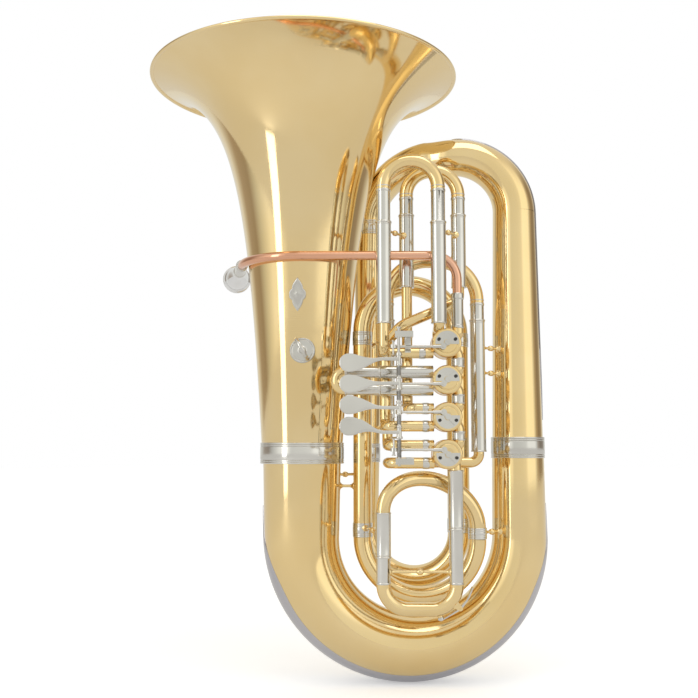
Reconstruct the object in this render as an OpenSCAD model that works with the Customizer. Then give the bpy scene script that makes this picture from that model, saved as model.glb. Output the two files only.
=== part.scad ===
// Four-valve rotary tuba in millimetres.
// +Z is up, -Y faces the side that carries the valves, and the origin is the
// lowest point of the bottom bow, midway between the bell and the outer branch.

/* [Bell] */
// Radius of the bell at its rim
bell_rim_r = 225; // [190:1:250]
// Height of the bell rim above the bottom of the instrument
bell_top_z = 877; // [840:1:960]
// How fast the flare opens: distance over which it doubles back
flare_length = 33; // [26:0.5:42]
// Power of the flare curve
flare_power = 0.451; // [0.42:0.001:0.48]
// Wall thickness of the bell
bell_wall = 1.2; // [0.8:0.1:2]
// Thickness of the wire that stiffens the rim
rim_wire_d = 6; // [4:0.5:9]

/* [Main bows] */
// Distance from the bell axis to the outer branch axis
leg_spacing = 313; // [300:1:345]
// Radius of the bow at the bell joint
bow_bell_r = 56.5; // [54:0.5:60]
// Radius of the bow where it meets the outer branch
bow_branch_r = 37; // [34:0.5:39]
// Height of the middle of the bell ferrule
bell_joint_z = 322; // [300:1:340]
// Height of the middle of the outer branch ferrule
branch_joint_z = 330; // [310:1:345]
// Height at which the outer branch turns into the top bow
top_bow_z = 676; // [640:1:720]
// Radius of the top bow where it starts on the right
top_bow_r = 31; // [28:0.5:33]
// Bend radius of the top bow
top_bow_bend = 85; // [76:1:90]
// Radius of the inner branch at its top
inner_branch_r = 22.5; // [20:0.5:24]
// Wall of the large tubes
branch_wall = 1.2; // [0.8:0.1:2]
// Thickness of the guards on the bows
guard_t = 1.5; // [1:0.1:2.5]

/* [Valves] */
// Height of the first valve
valve_top_z = 471; // [466:0.5:476]
// Distance from one valve to the next
valve_pitch = 50; // [48:0.5:53]
// Distance of the valve axes to the right of the middle
valve_x = 44; // [42:0.5:46]
// Outer radius of a valve casing
casing_r = 20; // [19:0.25:21]
// Radius of the rotor
rotor_r = 17; // [16:0.1:18]
// Depth of the valve casing from front to back
casing_depth = 34; // [30:0.5:38]
// Radius of the rotor spindle
spindle_r = 3; // [2.5:0.1:3.4]
// Turn of the rotor from open to closed
rotor_turn = 90; // [80:1:95]

/* [Levers] */
// Radius of the hinge rod that the levers turn on
hinge_r = 2; // [1.5:0.1:2.6]
// Distance of the lever hinge to the left of the middle
hinge_x = -23; // [-26:0.5:-20]
// Distance between neighbouring finger paddles
paddle_pitch = 27.7; // [26:0.1:28.5]
// Radius of the round end of a finger paddle
paddle_r = 12.8; // [10:0.1:13]
// Length of a lever from the hinge to the middle of the round end
lever_reach = 66; // [56:0.5:74]
// Travel of a lever in degrees
lever_travel = 33; // [28:1:36]
// Distance from the spindle to the pin of the stop arm
stop_pin_r = 8.75; // [8:0.05:9.5]

/* [Slides] */
// Outer radius of the fixed slide sleeves
sleeve_r = 10.4; // [10:0.1:11.2]
// Outer radius of the moving slide legs
slide_r = 9.6; // [8.8:0.05:9.8]
// Wall of the slide legs
slide_wall = 0.8; // [0.6:0.05:1.2]
// Radius of the tubes of the second valve slide
small_slide_r = 8; // [7.4:0.1:8.6]
// Radius of the valve loop tubes
loop_r = 7.4; // [7:0.1:7.8]
// Height of the top of the sleeves of the first slide
slide_1_top = 638; // [600:1:660]
// Height of the top of the sleeves of the third slide
slide_3_top = 659; // [600:1:670]
// Height of the top of the sleeves of the fourth slide
slide_4_top = 512; // [490:1:530]
// Height of the lowest part of the tuning slide crook
tuning_crook_z = 114.5; // [108:0.5:124]

/* [Mouthpipe] */
// Radius of the leadpipe
leadpipe_r = 6.4; // [5.5:0.1:7.5]
// Height of the leadpipe
leadpipe_z = 595; // [570:1:620]
// Radius of the mouthpiece rim
mouthpiece_r = 22; // [19:0.5:24]

/* [Fits] */
// Radial clearance of turning and sliding fits
fit = 0.05; // [0.02:0.01:0.09]
// Gap between pieces that pass each other
gap = 0.5; // [0.3:0.1:1]
// Radial clearance of the loose eye on a lever pin
eye_play = 0.9; // [0.7:0.05:1.4]

/* [Hidden] */

$fn = 48;
BRASS = "#d9b45c";
NICKEL = "#b9b6ae";
COPPER = "#c98f6b";
SILVER = "#d9dade";

// Main bow geometry; a strip of solder lies under each guard
solder = 0.2;
half_spacing = leg_spacing / 2;
bell_x = -half_spacing;
branch_x = half_spacing;
bow_mid_r = (bow_bell_r - 2.5 + bow_branch_r + 1.5) / 2;
bow_centre_z = half_spacing + bow_mid_r + guard_t + solder;
bell_length = bell_top_z - bell_joint_z;
bell_seat = 1.58;
throat_trim = flare_r(bell_length) - bow_bell_r - bell_seat;
rim_flat = 0.4;
ferrule_h = 30;
ferrule_t = 1.6;

// Inner bows: places of the branches in X and Y, with their radii
inner_x = -62;
inner_y = 70;
inner_lean = 5;
inner_top_x = inner_x + inner_lean;
back_x = 72;
back_y = 20;
back_r = 16.2;
front_x = -69;
front_y = -8;
front_r = 13.4;
tuning_x = 90.5;
tuning_y = -45;
tuning_r = 12.2;
inner_low_r = 17.6;
back_bow_z = 207;
inner_arch_z = 498;
inner_bow_z = 203;
inner_joint_z = 206;
lead = 1;

// Valve group
line_y = -90;
line_x = valve_x + 17;
port_z = 12;
main_bore_r = 6.5;
port_bore_r = 4.6;
main_port_z = 9;
casing_front_y = line_y - 0.62 * casing_depth;
casing_back_y = casing_front_y + casing_depth;
cap_t = 3;
back_cap_t = 2.5;
cap_y = casing_front_y - cap_t;
knuckle_r = 7.9;
knuckle_bend = 8.4;
tube_wall = 0.9;
rotor_gap = 0.3;

// Stop work in front of the valves
plate_t = 1.6;
arm_gap = 0.5;
arm_back_y = cap_y - plate_t - arm_gap;
arm_t = 3.2;
arm_front_y = arm_back_y - arm_t;
hub_r = 4.2;
pin_r = 1.8;
link_y = arm_front_y - 3;
link_half = 2;
eye_r = 4;
rod_r = 1.75;
bumper_r = 2.2;
bumper_place_r = 12;
finger_half = 2;
half_turn = rotor_turn / 2;

// Lever work
lever_pin_r = 1.5;
lever_throw = stop_pin_r * sin(half_turn);
drive_r = lever_throw / sin(lever_travel / 2);
hinge_y = link_y - drive_r * (1 + cos(lever_travel / 2)) / 2;
lever_pitch = 32;
lever_top_z = 446;
paddle_top_z = 441;
sleeve_half = 9;
hinge_sleeve_r = 3.8;
hinge_top_z = 487;
hinge_low_z = 306;
bracket_x0 = -12;
bracket_w = 8;
bracket_h = 8;

// Slides
slide_bore_r = slide_r + fit;
slide_1_left = -41.5;
slide_1_right = 33.5;
slide_1_y = -112;
slide_3_left = -7;
slide_3_right = 66.5;
slide_3_y = -62;
slide_4_left = -34;
slide_4_right = 95;
slide_4_y = -37.5;
tuning_left = -42.3;
tuning_right = 56;
small_sleeve_r = small_slide_r + 0.8;
slide_2_sleeve_x = -48;
slide_2_crook_x = -94;
socket_h = 6;

// Leadpipe wraps the bell on an arc
wrap_r = 90;
wrap_start = 270;
wrap_end = 190;
receiver_len = 55;

function valve_z(i) = valve_top_z - valve_pitch * (i - 1);
function lever_z(i) = lever_top_z - lever_pitch * (i - 1);
function paddle_z(i) = paddle_top_z - paddle_pitch * (i - 1);
// Stop pins sit below the spindle on valves 1 and 2 and above it on 3 and 4
function side(i) = i < 3 ? -1 : 1;
function rod_z(i) = valve_z(i) + side(i) * stop_pin_r * cos(half_turn);
function pin_x() = valve_x - lever_throw;
function eye_x() = hinge_x - lever_throw;
function plate_z(i) = i < 3 ? lever_z(i) + (i == 1 ? 6 : -7) : lever_z(i) + (i == 3 ? 3 : -7);

// Radius of the bell at a distance below its rim
function flare_r(d) = bell_rim_r * pow(1 + d / flare_length, -flare_power);
function bell_r(d) = flare_r(d) - throat_trim * pow(d / bell_length, 2);

function unit(v) = v / norm(v);
function mix(a, b, t) = a + (b - a) * t;

// ---- Swept solids ----

// Side vector of a path that never runs along Y: it points to the outside of
// the large bows
function side_vec(t) = unit(cross([0, 1, 0], t));
function tangent(p, i) = unit(p[min(i + 1, len(p) - 1)] - p[max(i - 1, 0)]);
function ring_points(p, radii, i, sides) =
    let (t = tangent(p, i), u = side_vec(t), v = cross(t, u))
    [for (k = [0 : sides - 1])
        let (a = 360 * k / sides) p[i] + radii[i] * (cos(a) * u + sin(a) * v)];

// Each four-cornered face as two triangles, seen from outside
function triangles(faces) = [for (f = faces) each [[f[2], f[1], f[0]], [f[3], f[2], f[0]]]];

// A tube along a path with a radius at every point and a wall
module tapered_tube(p, radii, wall, sides = 28) {
    n = len(p);
    inner = [for (r = radii) r - wall];
    points = concat(
        [for (i = [0 : n - 1]) each ring_points(p, radii, i, sides)],
        [for (i = [0 : n - 1]) each ring_points(p, inner, i, sides)]);
    base = n * sides;
    faces = concat(
        [for (i = [0 : n - 2], k = [0 : sides - 1]) let (m = (k + 1) % sides)
            [i * sides + k, i * sides + m, (i + 1) * sides + m, (i + 1) * sides + k]],
        [for (i = [0 : n - 2], k = [0 : sides - 1]) let (m = (k + 1) % sides)
            [base + i * sides + m, base + i * sides + k,
             base + (i + 1) * sides + k, base + (i + 1) * sides + m]],
        [for (k = [0 : sides - 1]) let (m = (k + 1) % sides)
            [m, k, base + k, base + m]],
        [for (k = [0 : sides - 1]) let (m = (k + 1) % sides, e = (n - 1) * sides)
            [e + k, e + m, base + e + m, base + e + k]]);
    polyhedron(points, triangles(faces));
}

// A thin strip that covers part of a tube, from angle a0 to a1 about its path
module tube_strip(p, radii, t, a0, a1, steps = 8) {
    n = len(p);
    row = steps + 1;
    function strip_ring(i, r) =
        let (tg = tangent(p, i), u = side_vec(tg), v = cross(tg, u))
        [for (k = [0 : steps]) let (a = mix(a0, a1, k / steps)) p[i] + r * (cos(a) * u + sin(a) * v)];
    points = concat(
        [for (i = [0 : n - 1]) each strip_ring(i, radii[i] + t)],
        [for (i = [0 : n - 1]) each strip_ring(i, radii[i])]);
    base = n * row;
    faces = concat(
        [for (i = [0 : n - 2], k = [0 : steps - 1])
            [i * row + k, i * row + k + 1, (i + 1) * row + k + 1, (i + 1) * row + k]],
        [for (i = [0 : n - 2], k = [0 : steps - 1])
            [base + i * row + k + 1, base + i * row + k,
             base + (i + 1) * row + k, base + (i + 1) * row + k + 1]],
        [for (i = [0 : n - 2])
            [i * row, (i + 1) * row, base + (i + 1) * row, base + i * row]],
        [for (i = [0 : n - 2]) let (k = steps)
            [(i + 1) * row + k, i * row + k, base + i * row + k, base + (i + 1) * row + k]],
        [for (k = [0 : steps - 1]) [k + 1, k, base + k, base + k + 1]],
        [for (k = [0 : steps - 1]) let (e = (n - 1) * row)
            [e + k, e + k + 1, base + e + k + 1, base + e + k]]);
    polyhedron(points, triangles(faces));
}

// Carries local Z to a direction, with local X and Y across it
module aim(origin, x, y) {
    z = cross(x, y);
    multmatrix([[x[0], y[0], z[0], origin[0]], [x[1], y[1], z[1], origin[1]],
                [x[2], y[2], z[2], origin[2]], [0, 0, 0, 1]]) children();
}
function across(d) = unit(cross(abs(d[2]) < 0.9 ? [0, 0, 1] : [1, 0, 0], d));

// A straight rod between two points
module rod(a, b, r) {
    d = unit(b - a);
    aim(a, across(d), cross(d, across(d))) cylinder(h = norm(b - a), r = r);
}

// A tube of one radius through corner points, each corner rounded to a bend;
// bend is one radius or a list with one for every point
module pipe(pts, r, wall, bend) {
    n = len(pts);
    d = [for (i = [0 : n - 2]) unit(pts[i + 1] - pts[i])];
    turn = [for (i = [0 : n - 1]) i == 0 || i == n - 1 ? 0 : acos(d[i - 1] * d[i])];
    bends = is_list(bend) ? bend : [for (i = [0 : n - 1]) bend];
    cut = [for (i = [0 : n - 1]) bends[i] * tan(turn[i] / 2)];
    module section() {
        difference() {
            circle(r);
            if (wall > 0) circle(r - wall);
        }
    }
    for (i = [0 : n - 2]) {
        len_i = norm(pts[i + 1] - pts[i]) - cut[i] - cut[i + 1];
        if (len_i > 0.01)
            aim(pts[i] + d[i] * cut[i], across(d[i]), cross(d[i], across(d[i])))
                difference() {
                    cylinder(h = len_i, r = r);
                    if (wall > 0) translate([0, 0, -1]) cylinder(h = len_i + 2, r = r - wall);
                }
    }
    for (i = [1 : 1 : n - 2])
        if (turn[i] > 0.5) {
            nrm = unit(d[i] - (d[i] * d[i - 1]) * d[i - 1]);
            aim(pts[i] - d[i - 1] * cut[i] + nrm * bends[i], -nrm, d[i - 1])
                rotate_extrude(angle = turn[i]) translate([bends[i], 0]) section();
        }
}

// A plain hollow cylinder along Z
module sleeve(x, y, z0, z1, r, bore) {
    translate([x, y, z0]) difference() {
        cylinder(h = z1 - z0, r = r);
        translate([0, 0, -1]) cylinder(h = z1 - z0 + 2, r = bore);
    }
}

// ---- Bell and main bows ----

BELL_STEPS = 26;
function bell_d(i) = bell_length * pow(i / BELL_STEPS, 1.8);
function bell_point(i) = [bell_r(bell_d(i)), bell_top_z - bell_d(i)];
// Step from the outer to the inner face, square to the flare
function bell_inward(i) =
    let (d = bell_d(i), slope = (bell_r(d + 0.1) - bell_r(max(d - 0.1, 0))) / (d > 0.1 ? 0.2 : 0.1))
    bell_wall * unit([-1, -slope]);

module bell() {
    color(BRASS) translate([bell_x, 0, 0]) rotate_extrude($fn = 96) polygon(concat(
        [for (i = [0 : BELL_STEPS]) bell_point(i)],
        [for (i = [BELL_STEPS : -1 : 0]) bell_point(i) + bell_inward(i)]));
}

module bell_rim_wire() {
    above = bell_top_z + 2 * rim_wire_d;
    color(BRASS) translate([bell_x, 0, 0]) rotate_extrude($fn = 96) difference() {
        translate([bell_rim_r, bell_top_z]) circle(d = rim_wire_d);
        polygon(concat([for (i = [0 : 5]) bell_point(i)], [[bell_point(5)[0], above], [bell_rim_r, above]]));
        translate([bell_rim_r - rim_wire_d, bell_top_z + rim_wire_d / 2 - rim_flat])
            square([2 * rim_wire_d, rim_wire_d]);
    }
}

module ferrule(x, z, r, h) {
    translate([x, 0, z - h / 2]) rotate_extrude($fn = 96) polygon([
        [r, 0], [r + ferrule_t, 0], [r + ferrule_t, h * 0.12], [r + ferrule_t * 0.6, h * 0.15],
        [r + ferrule_t, h * 0.18], [r + ferrule_t, h * 0.82], [r + ferrule_t * 0.6, h * 0.85],
        [r + ferrule_t, h * 0.88], [r + ferrule_t, h], [r, h]]);
}
bell_ferrule_r = max(bell_r(bell_length - ferrule_h / 2), bow_bell_r);
inner_ferrule_t = 1;
inner_ferrule_h = 20;
module branch_ferrule(x, y, z0, z1, r) { sleeve(x, y, z0, z1, r + inner_ferrule_t, r + fit); }
module ferrules() {
    color(NICKEL) {
        ferrule(bell_x, bell_joint_z, bell_ferrule_r, ferrule_h);
        ferrule(branch_x, branch_joint_z, bow_branch_r + 0.25, ferrule_h);
        branch_ferrule(tuning_x, tuning_y, inner_bow_z + 0.5, inner_joint_z + 13, tuning_r);
        branch_ferrule(back_x, back_y, back_bow_z, back_bow_z + inner_ferrule_h, back_r);
        branch_ferrule(back_x, back_y, inner_arch_z - inner_ferrule_h, inner_arch_z, back_r);
        branch_ferrule(front_x, front_y, inner_bow_z, inner_bow_z + inner_ferrule_h, front_r);
        branch_ferrule(front_x, front_y, inner_arch_z - inner_ferrule_h, inner_arch_z, front_r);
    }
}

// Path of the bottom bow: down from the bell, half a turn, up to the branch
BOW_STEPS = 20;
bow_path = concat(
    [[bell_x, 0, bell_joint_z - 0.2]],
    [for (i = [0 : BOW_STEPS]) let (a = 180 + 180 * i / BOW_STEPS)
        [half_spacing * cos(a), 0, bow_centre_z + half_spacing * sin(a)]],
    [[branch_x, 0, branch_joint_z - 0.2]]);
bow_radii = concat(
    [bow_bell_r],
    [for (i = [0 : BOW_STEPS]) mix(bow_bell_r - 2.5, bow_branch_r + 1.5, i / BOW_STEPS)],
    [bow_branch_r]);
module bottom_bow() { color(BRASS) tapered_tube(bow_path, bow_radii, branch_wall); }
// The guard stops short of the ferrules on both legs
low_guard_z = 252;
guard_half = 44;
function bow_leg_r(low, top, joint) = mix(low, top, (low_guard_z - bow_centre_z) / (joint - bow_centre_z));
low_guard_path = concat([[bell_x, 0, low_guard_z]],
    [for (i = [1 : BOW_STEPS + 1]) bow_path[i]], [[branch_x, 0, low_guard_z]]);
low_guard_radii = concat([bow_leg_r(bow_bell_r - 2.5, bow_bell_r, bell_joint_z)],
    [for (i = [1 : BOW_STEPS + 1]) bow_radii[i]], [bow_leg_r(bow_branch_r + 1.5, bow_branch_r, branch_joint_z)]);
module bottom_bow_guard() {
    color(SILVER) tube_strip(low_guard_path, [for (r = low_guard_radii) r + solder], guard_t,
        -guard_half, guard_half, 12);
}

module outer_branch() {
    h = top_bow_z - branch_joint_z;
    color(BRASS) translate([branch_x, 0, branch_joint_z]) difference() {
        cylinder(h = h, r1 = bow_branch_r - 0.6, r2 = top_bow_r);
        translate([0, 0, -0.01])
            cylinder(h = h + 0.02, r1 = bow_branch_r - 0.6 - branch_wall, r2 = top_bow_r - branch_wall);
    }
}

// Path of the top bow: two quarter bends and a short straight, leaning back
TOP_STEPS = 9;
top_flat = branch_x - inner_top_x - 2 * top_bow_bend;
top_arc_z = top_bow_z + lead;
top_bow_path = concat(
    [[branch_x, 0, top_bow_z]],
    [for (i = [0 : TOP_STEPS]) let (a = 90 * i / TOP_STEPS)
        [branch_x - top_bow_bend * (1 - cos(a)), 0, top_arc_z + top_bow_bend * sin(a)]],
    [for (i = [0 : TOP_STEPS]) let (a = 90 + 90 * i / TOP_STEPS)
        [branch_x - top_bow_bend - top_flat + top_bow_bend * cos(a), inner_y * (0.2 + 0.8 * sin(a - 90)),
         top_arc_z + top_bow_bend * sin(a)]],
    [[inner_top_x, inner_y, top_bow_z]]);
top_bow_radii = concat([top_bow_r], taper(top_bow_r, inner_branch_r, 2 * TOP_STEPS + 1), [inner_branch_r]);
module top_bow() { color(BRASS) tapered_tube(top_bow_path, top_bow_radii, branch_wall); }

guard_path = concat(
    [[branch_x, 0, branch_joint_z + 40], [branch_x, 0, (branch_joint_z + top_bow_z) / 2]],
    [for (i = [1 : TOP_STEPS + 2]) top_bow_path[i]]);
guard_radii = concat(
    [bow_branch_r - 0.6 - (bow_branch_r - 0.6 - top_bow_r) * 40 / (top_bow_z - branch_joint_z),
     (bow_branch_r - 0.6 + top_bow_r) / 2],
    [for (i = [1 : TOP_STEPS + 2]) top_bow_radii[i]]);
module top_bow_guard() {
    color(SILVER) tube_strip(guard_path, [for (r = guard_radii) r + solder], guard_t, -22, 22, 6);
}

// ---- Inner bows ----

module tapered_straight(a, b, ra, rb, wall) {
    d = unit(b - a);
    aim(a, across(d), cross(d, across(d))) difference() {
        cylinder(h = norm(b - a), r1 = ra, r2 = rb);
        translate([0, 0, -0.01]) cylinder(h = norm(b - a) + 0.02, r1 = ra - wall, r2 = rb - wall);
    }
}

// A path through corner points with every corner rounded over a distance
function rounded(q, cut, steps) = concat([q[0]],
    [for (i = [1 : len(q) - 2], k = [0 : steps])
        let (t = k / steps, a = q[i] - cut * unit(q[i] - q[i - 1]), b = q[i] + cut * unit(q[i + 1] - q[i]))
        mix(mix(a, q[i], t), mix(q[i], b, t), t)],
    [q[len(q) - 1]]);

// Half a turn between two legs at one height, from leg a to leg b
function arch(ax, ay, bx, by, z, up, steps) = [for (i = [0 : steps])
    let (a = 180 * i / steps, w = (1 - cos(a)) / 2)
    [mix(ax, bx, w), mix(ay, by, w), z + up * abs(bx - ax) / 2 * sin(a)]];
// Half a turn whose second foot stands at another height, za to zb
function uneven_arch(ax, ay, bx, by, za, zb, steps) = [for (i = [0 : steps])
    let (a = 180 * i / steps, w = (1 - cos(a)) / 2, rise = abs(bx - ax) / 2 - (zb - za) / 2)
    [mix(ax, bx, w), mix(ay, by, w), mix(za, zb, w) + rise * sin(a)]];
function taper(ra, rb, steps) = [for (i = [0 : steps]) mix(ra, rb, i / steps)];
// The same half turn with an upright lead at each foot, so that the ends are level
function arch_on_leads(ax, ay, bx, by, z, up, steps) = concat(
    [[ax, ay, z]], arch(ax, ay, bx, by, z + up * lead, up, steps), [[bx, by, z]]);
function taper_on_leads(ra, rb, steps) = concat([ra], taper(ra, rb, steps), [rb]);

module inner_branch() {
    color(BRASS) tapered_straight([inner_x, inner_y, back_bow_z + solder], [inner_top_x, inner_y, top_bow_z - solder],
        inner_low_r, inner_branch_r, branch_wall);
}
module back_bottom_bow() {
    color(BRASS) tapered_tube(arch_on_leads(inner_x, inner_y, back_x, back_y, back_bow_z, -1, 16),
        taper_on_leads(inner_low_r, back_r, 16), branch_wall, 24);
}
module back_branch() {
    color(BRASS) sleeve(back_x, back_y, back_bow_z, inner_arch_z, back_r, back_r - branch_wall);
}
module inner_top_bow() {
    color(BRASS) tapered_tube(arch_on_leads(back_x, back_y, front_x, front_y, inner_arch_z, 1, 16),
        taper_on_leads(back_r, front_r, 16), branch_wall, 24);
}
module front_branch() {
    color(BRASS) sleeve(front_x, front_y, inner_bow_z, inner_arch_z, front_r, front_r - branch_wall);
}
module inner_bottom_bow() {
    color(BRASS) tapered_tube(arch_on_leads(front_x, front_y, tuning_x, tuning_y, inner_bow_z, -1, 16),
        taper_on_leads(front_r, tuning_r, 16), branch_wall, 24);
}
// Bow from the inner ferrule over to the left leg of the tuning slide
tuning_bow_z = inner_joint_z + 14;
tuning_sleeve_top = 243;
module tuning_bow() {
    color(BRASS) {
        tapered_tube(concat([[tuning_x, tuning_y, inner_bow_z + solder]],
            uneven_arch(tuning_x, tuning_y, tuning_left, line_y, tuning_bow_z, tuning_sleeve_top + lead, 16),
            [[tuning_left, line_y, tuning_sleeve_top]]),
            taper_on_leads(tuning_r, slide_r, 16), tube_wall, 24);
    }
}

// ---- Tuning slide ----

tuning_ring_left = 182;
tuning_ring_right = 219;
tuning_top = valve_z(4) - main_port_z - knuckle_bend - 4;
crook_top_z = 148;
crook_bend = 33;
module sleeve_ring(x, y, z, up) {
    translate([x, y, z]) mirror([0, 0, up ? 0 : 1]) translate([0, 0, -2]) difference() {
        cylinder(h = 2, r = sleeve_r + 0.7);
        translate([0, 0, -1]) cylinder(h = 4, r = sleeve_r - 0.2);
    }
}
module slide_sleeve(x, y, z0, z1, up) {
    sleeve(x, y, z0, z1, sleeve_r, slide_bore_r);
    sleeve_ring(x, y, up ? z1 : z0, up);
}
// A sleeve with its open end up and a socket for the loop tube at its foot
module upright_sleeve(x, y, z0, z1) {
    translate([x, y, z0 - socket_h]) difference() {
        cylinder(h = z1 - z0 + socket_h, r = sleeve_r);
        translate([0, 0, -1]) cylinder(h = socket_h + 2, r = loop_r + fit);
        translate([0, 0, socket_h]) cylinder(h = z1 - z0 + 1, r = slide_bore_r);
    }
    sleeve_ring(x, y, z1, true);
}
module tuning_sleeves() {
    color(NICKEL) {
        slide_sleeve(tuning_left, line_y, tuning_ring_left, tuning_sleeve_top, false);
        slide_sleeve(tuning_right, line_y, tuning_ring_right, tuning_top, false);
    }
}
module tuning_slide() {
    color(BRASS) pipe([[tuning_left, line_y, crook_top_z], [tuning_left, line_y, tuning_crook_z],
        [tuning_right, line_y, tuning_crook_z], [tuning_right, line_y, crook_top_z]],
        slide_r, slide_wall, crook_bend);
    color(NICKEL) {
        sleeve(tuning_left, line_y, crook_top_z, tuning_sleeve_top - 2, slide_r, slide_r - slide_wall);
        sleeve(tuning_right, line_y, crook_top_z, tuning_top - 18, slide_r, slide_r - slide_wall);
    }
    color(BRASS) difference() {
        union() {
            rod([tuning_left, line_y, 164], [tuning_right, line_y, 164], 2.6);
            rod([tuning_left + slide_r - 1, line_y, 164], [tuning_left + slide_r + 2, line_y, 164], 5);
            rod([tuning_right - slide_r - 2, line_y, 164], [tuning_right - slide_r + 1, line_y, 164], 5);
        }
        translate([tuning_left, line_y, 100]) cylinder(h = 120, r = slide_r - 0.3);
        translate([tuning_right, line_y, 100]) cylinder(h = 120, r = slide_r - 0.3);
    }
}

// Water key on the right bend of the tuning crook; places are polar about
// the centre of that bend
key_cx = tuning_right - crook_bend;
key_cz = tuning_crook_z + crook_bend;
crook_out_r = crook_bend + slide_r;
key_pivot_a = -40;
key_pivot_r = crook_out_r + 6;
key_nipple_a = -76;
key_pin_r = 1.2;
key_half = 4;
function key_at(a, r) = [key_cx + r * cos(a), key_cz + r * sin(a)];
module key_slab(t) { translate([0, line_y + t / 2, 0]) rotate([90, 0, 0]) linear_extrude(t) children(); }
module water_key_saddle() {
    p = key_at(key_pivot_a, key_pivot_r);
    color(BRASS) difference() {
        union() {
            for (s = [-1, 1]) translate([0, s * (key_half + 1.5), 0]) key_slab(2) difference() {
                hull() {
                    translate(p) circle(3);
                    translate(key_at(key_pivot_a, crook_out_r - 3)) circle(5);
                }
            }
            translate([key_cx, line_y, key_cz]) rotate([0, 90 - key_nipple_a, 0])
                translate([0, 0, crook_out_r - 2]) cylinder(h = 4, r = 3.4);
        }
        for (s = [-1, 1]) translate([p[0], line_y + 10, p[1]]) rotate([90, 0, 0])
            cylinder(h = 20, r = key_pin_r);
        crook_cut();
    }
    color(NICKEL) translate([p[0], line_y + 7.5, p[1]]) rotate([90, 0, 0]) cylinder(h = 15, r = key_pin_r);
}
module crook_cut() {
    translate([key_cx, line_y, key_cz]) rotate([90, 0, 0]) rotate_extrude()
        translate([crook_bend, 0]) circle(slide_r);
}
module water_key() {
    p = key_at(key_pivot_a, key_pivot_r);
    cork_r = crook_out_r + 2.1;
    color(NICKEL) difference() {
        union() {
            translate([p[0], line_y + key_half, p[1]]) rotate([90, 0, 0]) cylinder(h = 2 * key_half, r = 2.6);
            key_slab(4) polygon([
                key_at(key_nipple_a - 5, cork_r + 3), key_at(key_nipple_a + 5, cork_r + 3),
                key_at(key_pivot_a - 3, key_pivot_r - 0.8), key_at(key_pivot_a + 3, key_pivot_r - 0.8),
                key_at(-24, crook_out_r + 7.4), key_at(-6, crook_out_r + 10.6),
                key_at(-6, crook_out_r + 12.2), key_at(-24, crook_out_r + 9.4),
                key_at(key_pivot_a, key_pivot_r + 2.4), key_at(key_nipple_a, cork_r + 4.8)]);
            key_slab(11) polygon([
                key_at(-20, crook_out_r + 7.8), key_at(-4, crook_out_r + 10.8),
                key_at(-4, crook_out_r + 12.4), key_at(-20, crook_out_r + 9.6)]);
        }
        translate([p[0], line_y + 10, p[1]]) rotate([90, 0, 0]) cylinder(h = 20, r = key_pin_r + fit);
    }
    color("#c8a070") translate([key_cx, line_y, key_cz]) rotate([0, 90 - key_nipple_a, 0])
        translate([0, 0, cork_r]) cylinder(h = 3, r = 4.2);
}

// ---- Leadpipe and mouthpiece ----

module leadpipe() {
    half = (wrap_start - wrap_end) / 2;
    corner_r = wrap_r / cos(half);
    corner_a = wrap_end + half;
    corner = [bell_x + corner_r * cos(corner_a), corner_r * sin(corner_a), leadpipe_z];
    along = [-sin(wrap_start), cos(wrap_start), 0];
    run = (line_x - corner[0]) / along[0];
    turn_point = corner + along * run;
    tail = [sin(wrap_end), -cos(wrap_end), 0];
    color(COPPER) pipe([[turn_point[0], turn_point[1], inlet_top_z], turn_point, corner,
        corner + tail * (wrap_r * tan(half) + 0.1)], leadpipe_r, tube_wall, [0, 34, wrap_r, 0]);
}
inlet_top_z = 542;

// Local +Z runs from the end of the wrap toward the player
module on_receiver() {
    translate([bell_x + wrap_r * cos(wrap_end), wrap_r * sin(wrap_end), leadpipe_z])
        rotate([0, 0, wrap_end - 180]) rotate([-90, 0, 0]) children();
}
module mouthpiece_receiver() {
    color(NICKEL) on_receiver() rotate_extrude() polygon([
        [leadpipe_r - tube_wall, 0.1], [leadpipe_r + 1.2, 0.1], [leadpipe_r + 2, 6], [leadpipe_r + 2, receiver_len - 8],
        [leadpipe_r + 3, receiver_len - 6], [leadpipe_r + 3, receiver_len], [leadpipe_r + 0.4 + fit, receiver_len],
        [leadpipe_r - 0.2 + fit, receiver_len - 26], [leadpipe_r - 0.2 - tube_wall, receiver_len - 28]]);
}
module mouthpiece() {
    s0 = receiver_len - 25;
    color(SILVER) on_receiver() rotate_extrude() polygon([
        [4.4, s0], [leadpipe_r - 0.2, s0], [leadpipe_r + 0.4, s0 + 25], [leadpipe_r + 0.8, s0 + 40],
        [leadpipe_r + 2.2, s0 + 52], [12, s0 + 62], [17, s0 + 74], [19, s0 + 86], [mouthpiece_r - 1.4, s0 + 91],
        [mouthpiece_r, s0 + 93.5], [mouthpiece_r - 1, s0 + 96], [mouthpiece_r - 4, s0 + 96.8],
        [mouthpiece_r - 6.5, s0 + 94.5], [14.5, s0 + 86], [11, s0 + 70], [5, s0 + 58], [4, s0 + 50]]);
}
module inlet_tube() {
    color(NICKEL) sleeve(line_x, line_y, valve_z(1) + 22, inlet_top_z, leadpipe_r + 2.2, leadpipe_r - tube_wall);
}

// ---- Valves ----

module at_valve(i) { translate([valve_x, 0, valve_z(i)]) children(); }
// A cylinder along Y between two depths
module along_y(y0, y1, r) { translate([0, y1, 0]) rotate([90, 0, 0]) cylinder(h = y1 - y0, r = r); }

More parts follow.
